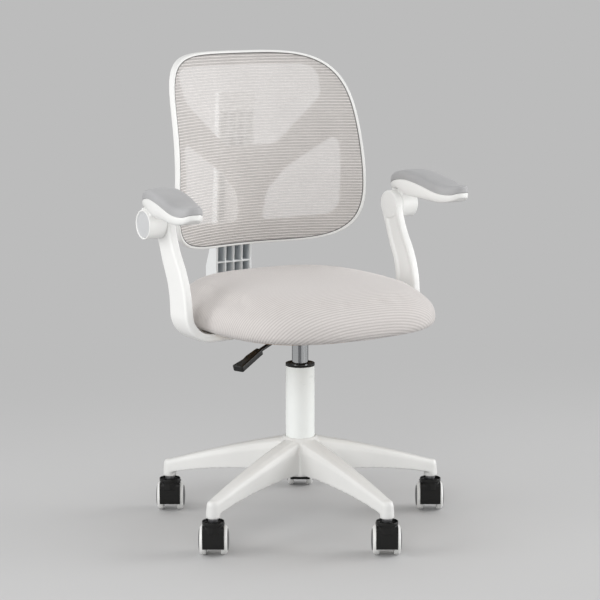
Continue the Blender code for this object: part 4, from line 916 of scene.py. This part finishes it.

# %% [markdown]
# A short block behind the fork of the Y carries the load into the bar. It follows the shell in front
# and the bar's face behind, with its corners eased. The resin behind the mesh gets painted shade, a grey
# over its white, so every point of the back says how much of that grey it takes.

# %% Add the spine block
SPINE_HALF, SPINE_EDGE, SPINE_EASE, SPINE_END = 0.023, 0.002, 0.003, 0.004
SPINE_LOW, SPINE_HIGH = BACK_BOTTOM + 0.021, BACK_BOTTOM + 0.170
BAR_FRONT, BAR_LEAN, BAR_GAP = seat_high.y + 0.0095, 0.015, 0.0003
BAR_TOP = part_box("back_bar")[1].z


def bar_front_y(z):
    return BAR_FRONT - BAR_LEAN * max(0.0, z - SEAT_TOP) / (BAR_TOP - SEAT_TOP)


rings = []
for z in np.linspace(SPINE_LOW, SPINE_HIGH, 24):
    end = min(z - SPINE_LOW, SPINE_HIGH - z)
    half_x = SPINE_HALF - SPINE_EASE * max(0.0, 1 - end / SPINE_END) ** 2
    near = [(x, back_y(x, z) + RIM_DEPTH - SHELL_WALL / 2, z) for x in np.linspace(-half_x, half_x, 9)]
    far = bar_front_y(z) - BAR_GAP
    rings.append(near + both_sides([(half_x, far - SPINE_EDGE, z), (half_x - SPINE_EDGE, far, z)]))
spine_mesh = skin(rings, "spine")
back_shape = joined([hoop_mesh, shell_mesh, spine_mesh], "back_hoop")
shade = [np.zeros(len(hoop_mesh.vertices)), shell_shade, np.ones(len(spine_mesh.vertices))]
layer = back_shape.attributes.new("behind_mesh", "FLOAT", "POINT")
layer.data.foreach_set("value", np.concatenate(shade))

back_resin = plastic("back_white_resin", *WHITE)
behind_mesh = add(back_resin.node_tree, "ShaderNodeAttribute", attribute_name="behind_mesh")["Fac"]
# Painted shade: a grey laid over the white where the back lies behind the mesh.
tint(back_resin, behind_mesh, srgb(206, 204, 202))
back = show(back_shape, "back_hoop_and_shell", "seat", back_resin, ["back_frame"], 50)
print("back:", len(back_shape.polygons), "faces")

# %% [markdown]
# ## Mesh panel
#
# The mesh is one sheet stretched into the hoop, held in a groove by a grey strip. Rings that shrink
# from the outline to the middle give the sheet an even grid on the curved surface. Geometry Nodes lay
# the raised cords along it: each is a line across the back, swept with a small round profile.

# %% Stretch the sheet
SHEET_DEPTH, SHEET_INSET = 0.0021, RIM_WALL + 0.0003
rings = [on_back(SHEET_INSET, SHEET_DEPTH, 240, scale).tolist() for scale in np.linspace(1, 0.03, 42)]
sheet_mesh = skin(rings, "back_mesh_sheet", first_cap=False)
if sum(face.normal.y for face in sheet_mesh.polygons) > 0:
    sheet_mesh.flip_normals()
sheet = show(sheet_mesh, "back_mesh_sheet", "seat", mesh_ground, ["back_mesh"])

# %% Lay the cords with Geometry Nodes
def geometry_tool(name, inputs, shape):
    """A Geometry Nodes tool with named inputs, which ends in real geometry with a finish."""
    tree, given = group(name, {**inputs, "Finish": "Material"}, "Geometry")
    real = add(tree, "GeometryNodeRealizeInstances", {"Geometry": shape(tree, given)})["Geometry"]
    coat = add(tree, "GeometryNodeSetMaterial", {"Geometry": real, "Material": given["Finish"]})["Geometry"]
    return closed_group(tree, {"Result": coat}, "Geometry")


def run(tool, mesh, name, values):
    """A mesh after a geometry tool, whose inputs are set by their identifiers."""
    thing = workpiece(mesh, name)
    modifier = thing.modifiers.new(tool.name, "NODES")
    modifier.node_group = tool
    for socket in tool.interface.items_tree:
        if socket.name in values:
            modifier[socket.identifier] = values[socket.name]
    return baked(thing)


def tubes(tree, given):
    """A round profile swept along every line."""
    line = add(tree, "GeometryNodeMeshToCurve", {"Mesh": given["Lines"]})["Curve"]
    ring = {"Radius": given["Radius"], "Resolution": given["Sides"]}
    ring = add(tree, "GeometryNodeCurvePrimitiveCircle", ring)["Curve"]
    tube = {"Curve": line, "Profile Curve": ring, "Fill Caps": True}
    return add(tree, "GeometryNodeCurveToMesh", tube)["Mesh"]


sweep_tubes = geometry_tool("sweep_tubes", {"Lines": "Geometry", "Radius": "Float", "Sides": "Int"}, tubes)


def swept(lines, name, radius, sides, finish, looped=False):
    """Tubes along arrays of points."""
    points, edges = [], []
    for line in lines:
        first = len(points)
        points += line.tolist()
        edges += [(i, i + 1) for i in range(first, len(points) - 1)]
        if looped:
            edges.append((len(points) - 1, first))
    mesh = bpy.data.meshes.new(name)
    mesh.from_pydata(points, edges, [])
    return run(sweep_tubes, mesh, name, {"Radius": radius, "Sides": sides, "Finish": finish})


CORD_RADIUS, CORD_SUNK, CORD_MARGIN, CORD_END, CORD_POINTS = 0.0007, 0.0001, 0.0012, 0.0006, 56
half_height, half_width = BACK_HEIGHT / 2 - SHEET_INSET, BACK_WIDTH / 2 - SHEET_INSET
most = int((half_height - CORD_MARGIN) / RIB_PITCH)
lines = []
for k in range(-most, most + 1):
    z = k * RIB_PITCH
    reach = half_width * (1 - abs(z / half_height) ** BACK_POWER) ** (1 / BACK_POWER)
    reach = reach * (1 - BACK_TAPER * 2 * z / BACK_HEIGHT) - CORD_END
    x, z = np.linspace(-reach, reach, CORD_POINTS), BACK_CENTRE + z
    lines.append(np.stack((x, back_y(x, z) + SHEET_DEPTH - CORD_SUNK, np.full_like(x, z)), axis=1))
cord_mesh = swept(lines, "back_mesh_cords", CORD_RADIUS, 6, mesh_cords)
cords = show(cord_mesh, "back_mesh_cords", "seat", mesh_cords)
print("cords:", len(lines), "faces:", len(cord_mesh.polygons))

# %% Press the edge strip into the groove
STRIP_RADIUS, STRIP_DEPTH, STRIP_INSET = 0.0007, 0.0014, RIM_WALL + 0.0006


strip_line = on_back(STRIP_INSET, STRIP_DEPTH, 400)
strip_mesh = swept([strip_line], "edge_strip", STRIP_RADIUS, 8, strip_grey, looped=True)
strip = show(strip_mesh, "back_edge_strip", "seat", strip_grey)

# %% [markdown]
# ## Bar, arm posts and armrests
#
# The bar behind the seat is a ribbed moulding; its crisp cells stay as they are in the solid, with a
# smooth finish. Its deep pockets get painted shade: the finish measures how far behind the bar's front
# face a point lies, greys it with that depth, and leaves the outer sides and the rear face white. The
# arm posts are flat bands that bend under the seat, and each armrest grows out of a round barrel in one
# sweep. They are lofted finely, then given an even skin with eased edges, so that the barrel flows into
# the arm as in one moulding.

# %% Smooth the bar and paint shade into its pockets
POCKET_HALF = 0.0333
bar_resin = plastic("bar_white_resin", (241, 243, 243), 5, 0.42)
tree = bar_resin.node_tree
parts, facing = split(tree, place_in(tree)), split(tree, place_in(tree, "Normal"))
lean = BAR_LEAN / (BAR_TOP - SEAT_TOP)
ahead = maths(tree, "MULTIPLY_ADD", parts["Z"], lean, -lean * SEAT_TOP - BAR_FRONT)
# Painted shade: the deeper a point lies behind the bar's front face, the greyer it is.
pocket_shade = ramp(tree, maths(tree, "ADD", parts["Y"], ahead), 0.0008, 0.012)
pocket_shade = maths(tree, "MULTIPLY", pocket_shade, ramp(tree, parts["Z"], BACK_BOTTOM + 0.02, BACK_BOTTOM))
outside = ramp(tree, maths(tree, "ABSOLUTE", parts["X"]), POCKET_HALF - 0.0004, POCKET_HALF + 0.0002)
outside = maths(tree, "MAXIMUM", outside, ramp(tree, facing["Y"], 0.4, 0.6))
tint(bar_resin, maths(tree, "MULTIPLY", pocket_shade, maths(tree, "SUBTRACT", 1.0, outside)), srgb(186, 192, 196))

bar_mesh = solid_copy("back_bar", "back_bar_moulding")
show(bar_mesh, "back_bar_moulding", "seat", bar_resin, ["back_bar"], 28)
print("bar:", len(bar_mesh.polygons), "faces")

# %% [markdown]
# Button-head screws hold the bar to the spine from behind and to the seat board from below. A ray onto
# the bar finds each screw's place and the way its face looks. Geometry Nodes then set one head on every
# point, turned to that direction.

# %% Set the screws with Geometry Nodes
SCREW_RADIUS, HEAD_POINTS = 0.0048, 36
BEHIND, BELOW = Vector((0, 1, 0)), Vector((0, 0, -1))


def heads(tree, given):
    """A screw head on every point, turned to the point's facing."""
    shape = add(tree, "GeometryNodeObjectInfo", {"Object": given["Head"]})["Geometry"]
    facing = add(tree, "GeometryNodeInputNamedAttribute", {"Name": "facing"}, data_type="FLOAT_VECTOR")
    facing = {"Vector": facing["Attribute"]}
    turn = add(tree, "FunctionNodeAlignRotationToVector", facing, axis="Z")["Rotation"]
    spots = {"Points": given["Points"], "Instance": shape, "Rotation": turn, "Scale": given["Head radius"]}
    return add(tree, "GeometryNodeInstanceOnPoints", spots)["Instances"]


def socket_head():
    """A button head of radius 1 with a six-sided socket."""
    turns = [2 * math.pi * k / HEAD_POINTS for k in range(HEAD_POINTS)]
    six = [0.40 / math.cos((turn + math.pi / 6) % (math.pi / 3) - math.pi / 6) for turn in turns]
    layers = [(six, 0.16), (six, 0.46)]
    for radius, height in ((0.56, 0.50), (0.80, 0.41), (0.95, 0.24), (1.0, 0.06), (1.0, 0.0)):
        layers.append(([radius] * HEAD_POINTS, height))
    rings = []
    for radii, height in layers:
        rings.append([(r * math.cos(turn), r * math.sin(turn), height) for r, turn in zip(radii, turns)])
    return workpiece(skin(rings, "screw_head"), "screw_head")


bar_surface = BVHTree.FromPolygons([v.co for v in bar_mesh.vertices], [p.vertices for p in bar_mesh.polygons])
aims = [(Vector((x, 0, BACK_BOTTOM + rise)), BEHIND) for x in (-0.012, 0.012) for rise in (0.060, 0.135)]
aims += [(Vector((x, y, 0)), BELOW) for x in (-0.022, 0.022) for y in (0.118, 0.158)]
spots, facings = [], []
for aim, outside in aims:
    spot, facing, face, distance = bar_surface.ray_cast(aim + outside, -outside)
    spots.append(spot)
    facings += list(facing if facing.dot(outside) > 0 else -facing)
screw_points = bpy.data.meshes.new("bar_screws")
screw_points.from_pydata(spots, [], [])
screw_points.attributes.new("facing", "FLOAT_VECTOR", "POINT").data.foreach_set("vector", facings)
head_inputs = {"Points": "Geometry", "Head": "Object", "Head radius": "Float"}
set_screws = geometry_tool("set_screws", head_inputs, heads)
head = socket_head()
head_values = {"Head": head, "Head radius": SCREW_RADIUS, "Finish": dark_steel}
screw_mesh = run(set_screws, screw_points, "bar_screws", head_values)
bpy.data.objects.remove(head)
show(screw_mesh, "bar_screws", "seat", dark_steel, (), 45)
print("screws:", len(spots), "faces:", len(screw_mesh.polygons))

# %% [markdown]
# The posts and armrests come next, each as one moulding.

# %% Loft the arm posts
PIVOT_Y, POST_INNER, POST_THICKNESS, PIVOT_BORE, EYE_FLOOR = 0.057, 0.2235, 0.014, 0.0053, 0.002
POST_BEND, FOOT_END, POST_EDGE, POST_RECESS = 0.042, 0.1265, 0.007, 0.0025
POST_WIDTH, POST_WAIST_WIDTH, POST_ROUND, CHANNEL_SLOPE = 0.056, 0.0445, 0.005, 0.004
KNUCKLE_RADIUS, KNUCKLE_PROUD, GAP = 0.0245, 0.0006, 0.0003
cap_low, cap_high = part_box("pivot_cap_right")
PIVOT_Z = (cap_low.z + cap_high.z) / 2
FOOT_Z = board_low.z - GAP - POST_THICKNESS / 2
DROP = PIVOT_Z - FOOT_Z
POST_SWEEP = ((0.0, 1.0), (0.16, 0.80), (0.31, 0.585), (0.455, 0.32), (0.60, 0.15), (0.75, 0.075),
              (1.0, 0.035))
WAIST_MEAN = (POST_WAIST_WIDTH + POST_WIDTH) / 2
POST_WIDTHS = ((0.0, WAIST_MEAN), (0.18, POST_WAIST_WIDTH), (0.75, POST_WIDTH), (1.0, POST_WIDTH))


def post_line():
    """Points down the middle of a post, from just under its pivot to the end of its foot."""
    x = POST_INNER + POST_THICKNESS / 2
    points = []
    for u in np.linspace(0.05, 0.71, 26):
        points.append(Vector((x, PIVOT_Y * through(POST_SWEEP, u), PIVOT_Z - DROP * u)))
    for turn in np.linspace(0, math.pi / 2, 19)[1:]:
        z = FOOT_Z + POST_BEND * (1 - math.sin(turn))
        y = PIVOT_Y * through(POST_SWEEP, min(1, (PIVOT_Z - z) / DROP))
        points.append(Vector((x - POST_BEND * (1 - math.cos(turn)), y, z)))
    for end in np.linspace(x - POST_BEND, FOOT_END, 8)[1:]:
        points.append(Vector((end, PIVOT_Y * POST_SWEEP[-1][1], FOOT_Z)))
    return points


def post_ring(centre, tangent, side):
    """A flat band with a channel along its inner face."""
    over = (Vector((0, 1, 0)) - tangent * tangent.y).normalized()
    outward = tangent.cross(over)
    w = through(POST_WIDTHS, (PIVOT_Z - centre.z) / DROP) / 2
    t = POST_THICKNESS / 2
    lip = w - POST_EDGE
    eased = [(w - POST_ROUND * (1 - math.cos(a)), t - POST_ROUND * (1 - math.sin(a))) for a in quarter(5)]
    channel = [(-w, -t), (-lip, -t), (CHANNEL_SLOPE - lip, POST_RECESS - t)]
    points = [centre + over * u + outward * v for u, v in both_sides(eased) + both_sides(channel)]
    return [(side * p.x, p.y, p.z) for p in points]


line = post_line()
thick = POST_THICKNESS + KNUCKLE_PROUD
eye = [(0, 0), (KNUCKLE_RADIUS, 0), (KNUCKLE_RADIUS, thick), (PIVOT_BORE, thick)]
eye = spun(eye + [(PIVOT_BORE, EYE_FLOOR), (0, EYE_FLOOR)], "knuckle")
for side, label in HANDS:
    rings = []
    for i, point in enumerate(line):
        tangent = (line[min(i + 1, len(line) - 1)] - line[max(i - 1, 0)]).normalized()
        rings.append(post_ring(point, tangent, side))
    knuckle = across(eye, (side * POST_INNER, PIVOT_Y, PIVOT_Z), side)
    post_mesh = joined([skin(rings, "band"), knuckle], "post")
    post_mesh = moulded(post_mesh, "arm_post", voxel=0.0011, rounds=5)
    show(post_mesh, "arm_post_moulding_" + label, "seat", white_resin, ["arm_post_" + label])
    print("arm post", label, len(post_mesh.polygons), "faces")

# %% Shape the armrests
ARM_LENGTH, ARM_REAR, ARM_WIDTH, ARM_X = 0.180, 0.016, 0.0585, 0.2509
ARM_TOE_OUT, ARM_POWER, PAD_THICKNESS = math.radians(5), 2.6, 0.016
ARM_WAVE = ((0.0, 0.034), (0.16, 0.044), (0.33, 0.0475), (0.55, 0.0415), (0.78, 0.031), (0.92, 0.0295),
            (1.0, 0.034))
ARM_DEPTH = ((0.0, 0.007), (0.14, 0.0140), (0.33, 0.0285), (0.55, 0.0245), (0.80, 0.0162), (1.0, 0.009))
BODY_SECTION = ((1.0, 0.0), (1.0, -0.30), (0.985, -0.50), (0.94, -0.72), (0.87, -0.89), (0.76, -0.975),
                (0.6, -1.0), (0.3, -1.0))
PAD_SECTION = ((1.0, 0.25), (0.985, 0.48), (0.94, 0.68), (0.86, 0.83), (0.74, 0.92), (0.55, 0.975),
               (0.28, 1.0))
BARREL_INNER = POST_INNER + POST_THICKNESS + KNUCKLE_PROUD + GAP
BARREL_LENGTH, CAP_BORE, HEAD_BORE, CAP_SEAT, HEAD_SEAT = 0.033, 0.0218, 0.0093, 0.0037, 0.0056
NECK_HALF, NECK_INSET, NECK_HEIGHTS = 0.020, 0.0012, (0.0125, 0.020, 0.0262)
NECK_REAR = min(NECK_HALF, ARM_REAR - 0.004)


def arm_ring(u, side, section):
    """A section of (share of half width, height over the seam) points at a share of the arm's length."""
    half = ARM_WIDTH / 2 * (1 - abs(2 * u - 1) ** ARM_POWER) ** (1 / ARM_POWER)
    y, seam = ARM_REAR - u * ARM_LENGTH, through(ARM_WAVE, u)
    x = ARM_X - y * math.tan(ARM_TOE_OUT)
    return [(side * (x + a * half), y + PIVOT_Y, PIVOT_Z + seam + b) for a, b in both_sides(section)]


def body_section(u):
    depth = through(ARM_DEPTH, u)
    return [(a, b * depth) for a, b in BODY_SECTION]


def pad_section(u):
    tall = PAD_THICKNESS * (0.45 + 0.55 * (1 - abs(2 * u - 1) ** 14) ** 0.5)
    return [(1.0, GAP)] + [(a, b * tall) for a, b in PAD_SECTION]


shares = [0.0006 + 0.9988 * (1 - math.cos(math.pi * k / 72)) / 2 for k in range(73)]
recess = BARREL_LENGTH - CAP_SEAT
head_seat = recess - HEAD_SEAT
bore = [(KNUCKLE_RADIUS, 0), (KNUCKLE_RADIUS, BARREL_LENGTH), (CAP_BORE, BARREL_LENGTH), (CAP_BORE, recess)]
bore += [(HEAD_BORE, recess), (HEAD_BORE, head_seat), (PIVOT_BORE, head_seat), (PIVOT_BORE, 0)]
bore = spun(bore, "barrel")
for side, label in HANDS:
    beam = skin([arm_ring(u, side, body_section(u)) for u in shares], "beam")
    barrel = across(bore, (side * BARREL_INNER, PIVOT_Y, PIVOT_Z), side)
    inner, outer = side * (BARREL_INNER + NECK_INSET), side * (BARREL_INNER + recess - NECK_INSET)
    front, rear = PIVOT_Y - NECK_HALF, PIVOT_Y + NECK_REAR
    foot = [(inner, front), (outer, front), (outer, rear), (inner, rear)]
    neck = skin([[(x, y, PIVOT_Z + height) for x, y in foot] for height in NECK_HEIGHTS], "neck")
    arm_mesh = moulded(joined([beam, barrel, neck], "arm"), "arm_moulding", voxel=0.0010, rounds=6)
    arm_body = "armrest_" + label
    stands_for = ["armrest_body_" + label]
    show(arm_mesh, "armrest_moulding_" + label, arm_body, white_resin, stands_for)
    pad_mesh = skin([arm_ring(u, side, pad_section(u)) for u in shares], "arm_pad")
    stands_for = ["armrest_pad_" + label]
    pad = show(pad_mesh, "armrest_soft_pad_" + label, arm_body, pad_foam, stands_for, 60)
    print("armrest", label, len(arm_mesh.polygons), "faces, pad", len(pad_mesh.polygons))

# %% Turn the pivot caps
CAP_PROFILE = ((0, -0.0006), (0.0006, 0), (0.0022, 0), (0.0028, -0.0005), (0.0036, -0.0005),
               (0.0060, -0.0002))
for side, label in HANDS:
    low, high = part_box("pivot_cap_" + label)
    radius, thick = (high.z - low.z) / 2, high.x - low.x
    dish = [(radius - inset, thick + rise) for inset, rise in CAP_PROFILE]
    dish = spun([(0, 0), (radius, 0)] + dish + [(0, thick)], "cap", 96)
    cap = across(dish, (low.x if side > 0 else high.x, PIVOT_Y, PIVOT_Z), side)
    show(cap, "pivot_cap_disc_" + label, "armrest_" + label, cap_grey, ["pivot_cap_" + label], 35)
print("pivot caps turned")

# %% [markdown]
# ## Base and lift
#
# The star base is one large moulding whose five legs arch down from the hub. An even skin over its
# solid eases all the edges and lets the legs run into the hub. The column, its bush and the chrome
# cylinder are turned pieces, so a smooth finish on their solids is enough.

# %% Ease the star base
base_mesh = moulded(solid_copy("star_base", "star"), "star_base", voxel=0.0017, rounds=6, share=0.8)
show(base_mesh, "star_base_moulding", "base", base_white_shaded, ["star_base"])
print("base:", len(base_mesh.polygons), "faces")

# %% Smooth the turned pieces
TURNED = (("column_tube", "base", white_paint, "white_paint"),
          ("column_bush", "base", black_resin, "black_plastic"),
          ("lift_cylinder", "seat", chrome, "chrome"),
          ("lever_rod", "lever", black_steel, "dark_steel"))
for node, body, finish, slot in TURNED:
    show(solid_copy(node, node), node + "_smooth", body, finish, [node], 32)
print("turned pieces:", [row[0] for row in TURNED])

# %% [markdown]
# ## Castors
#
# Each castor is a black hood with a collar over two white wheels. The collar is a thin round wall, and
# inside it a shallow dish runs round the stem's flange. The wheels carry a grey domed disc on their
# outer face. One hood and one wheel are made, and copied to the five stems; each wheel and its disc ride
# on that wheel's own body, so that they turn with it.

# %% Make the hoods
COLLAR_RADIUS, COLLAR_HEIGHT, COLLAR_WALL, NECK_RADIUS, NECK_WALL = 0.0183, 0.0055, 0.0012, 0.0167, 0.002
DISH_IN, DISH_DEPTH, DISH_OVER, NECK_FOOT, OVERLAP = 0.0092, 0.0052, 0.002, 0.0078 + 0.0003, 0.0001
hoods = [sum(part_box("caster_hood_%d" % k), Vector()) / 2 for k in CASTORS]
stem_low, stem_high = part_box("caster_stem_1")
hood_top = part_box("caster_hood_1")[1].z
stem_line = Vector(((stem_low.x + stem_high.x) / 2, (stem_low.y + stem_high.y) / 2, hood_top))
dish_out = COLLAR_RADIUS - COLLAR_WALL
wall_in, neck_in = dish_out - OVERLAP, NECK_RADIUS - NECK_WALL
dish = [(DISH_IN, -DISH_DEPTH), (dish_out, -DISH_DEPTH), (dish_out, DISH_OVER), (DISH_IN, DISH_OVER)]
wall = [(wall_in, -0.75 * COLLAR_HEIGHT), (wall_in, 0), (COLLAR_RADIUS, 0), (COLLAR_RADIUS, -COLLAR_HEIGHT)]
wall.append((wall_in, -COLLAR_HEIGHT))
neck = [(neck_in, -NECK_FOOT), (neck_in, -COLLAR_HEIGHT), (NECK_RADIUS, -COLLAR_HEIGHT)]
neck.append((NECK_RADIUS, -NECK_FOOT))
turned = [moved(spun(profile, "collar", 96), Matrix.Translation(stem_line)) for profile in (dish, wall, neck)]
cutter = workpiece(turned[0], "dish")
scoop = ("BOOLEAN", {"object": cutter, "operation": "DIFFERENCE"})
scooped = worked(solid_copy("caster_hood_1", "hood"), "hood", scoop)
hood_mesh = moulded(joined([scooped] + turned[1:], "hood"), "hood", voxel=0.0006, rounds=2)
bpy.data.objects.remove(cutter)
for k, home in zip(CASTORS, hoods):
    hood = moved(hood_mesh, Matrix.Translation(home - hoods[0]))
    stands_for = ["caster_hood_%d" % k]
    show(hood, "castor_hood_%d" % k, "caster_%d" % k, black_resin, stands_for)
print("hoods:", len(hood_mesh.polygons), "faces each")

# %% Turn the wheels and their discs
WHEEL_RADIUS, WHEEL_BORE, WHEEL_IN, WHEEL_OUT = 0.02489, 0.0035, 0.0117, 0.0220
SHOULDER, RIM_INNER, RIM_PROUD, WEB_RADIUS, WEB_PROUD = 0.0055, 0.0190, 0.0010, 0.0186, 0.0006
DISC_APEX, DISC_RADIUS, DISC_FOOT, DISC_EDGE = 0.0255, 0.0182, WHEEL_OUT + 0.0007, WHEEL_OUT + 0.0013
wheel_profile = [(WHEEL_BORE, WHEEL_IN), (0.0215, WHEEL_IN), (0.0235, WHEEL_IN + 0.0003)]
wheel_profile += [(0.0246, WHEEL_IN + 0.0012), (WHEEL_RADIUS, WHEEL_IN + 0.0026)]
for turn in quarter(10):
    wheel_profile.append((RIM_INNER + (WHEEL_RADIUS - RIM_INNER) * math.cos(turn),
                          WHEEL_OUT - SHOULDER + (SHOULDER + RIM_PROUD) * math.sin(turn)))
wheel_profile += [(WEB_RADIUS, WHEEL_OUT + WEB_PROUD), (WHEEL_BORE, WHEEL_OUT + WEB_PROUD)]
disc_profile = [(0, DISC_FOOT), (DISC_RADIUS, DISC_FOOT), (DISC_RADIUS, DISC_EDGE)]
for turn in quarter(12)[1:-1]:
    rise = (DISC_APEX - DISC_EDGE) * math.sin(turn)
    disc_profile.append((DISC_RADIUS * math.cos(turn), DISC_EDGE + rise))
disc_profile.append((0, DISC_APEX))
wheel_shape, disc_shape = spun(wheel_profile, "wheel", 96), spun(disc_profile, "disc", 72)
for k in CASTORS:
    low_l, high_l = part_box("caster_wheel_%d_left" % k)
    low_r, high_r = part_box("caster_wheel_%d_right" % k)
    axle = (low_l + high_l + low_r + high_r) / 4
    toward_right = (low_r + high_r) / 2 - (low_l + high_l) / 2
    for side, label in HANDS:
        turn = math.atan2(side * toward_right.y, side * toward_right.x)
        home = Matrix.Translation(axle) @ Matrix.Rotation(turn, 4, "Z") @ Matrix.Rotation(math.pi / 2, 4, "Y")
        body = "wheel_%d_%s" % (k, label)
        wheel, disc = moved(wheel_shape, home), moved(disc_shape, home)
        show(wheel, "castor_%s" % body, body, wheel_white, ["caster_%s" % body], 40)
        show(disc, "castor_%s_disc" % body, body, hub_grey, (), 40)
print("wheels turned:", len(wheel_shape.polygons), "faces each")

# %% [markdown]
# ## Lever and fasteners
#
# The paddle of the height lever is a small black moulding. Bolts, axles and the plate under the seat
# keep their solids and take their metal finishes.

# %% Finish the lever and the carried-over solids
paddle_mesh = moulded(solid_copy("lever_paddle", "paddle"), "paddle", voxel=0.0007, rounds=4)
show(paddle_mesh, "lever_paddle_moulding", "lever", black_resin, ["lever_paddle"])

STEEL = ("thrust_bearing", "column_clip", "valve_button", "flange_bolt", "arm_bolt", "pivot_bolt",
         "caster_stem", "caster_axle")
FINISHES = [("seat_board", plywood), ("mechanism_plate", black_steel), ("piston_rod", chrome)]
FINISHES += [(prefix, dark_steel) for prefix in STEEL]
for name, solid in solids.items():
    for prefix, finish in FINISHES:
        if name.startswith(prefix):
            for place in solid.material_slots:
                place.material = finish
print("carried-over solids:", sum(not solid.hide_render for solid in solids.values()))
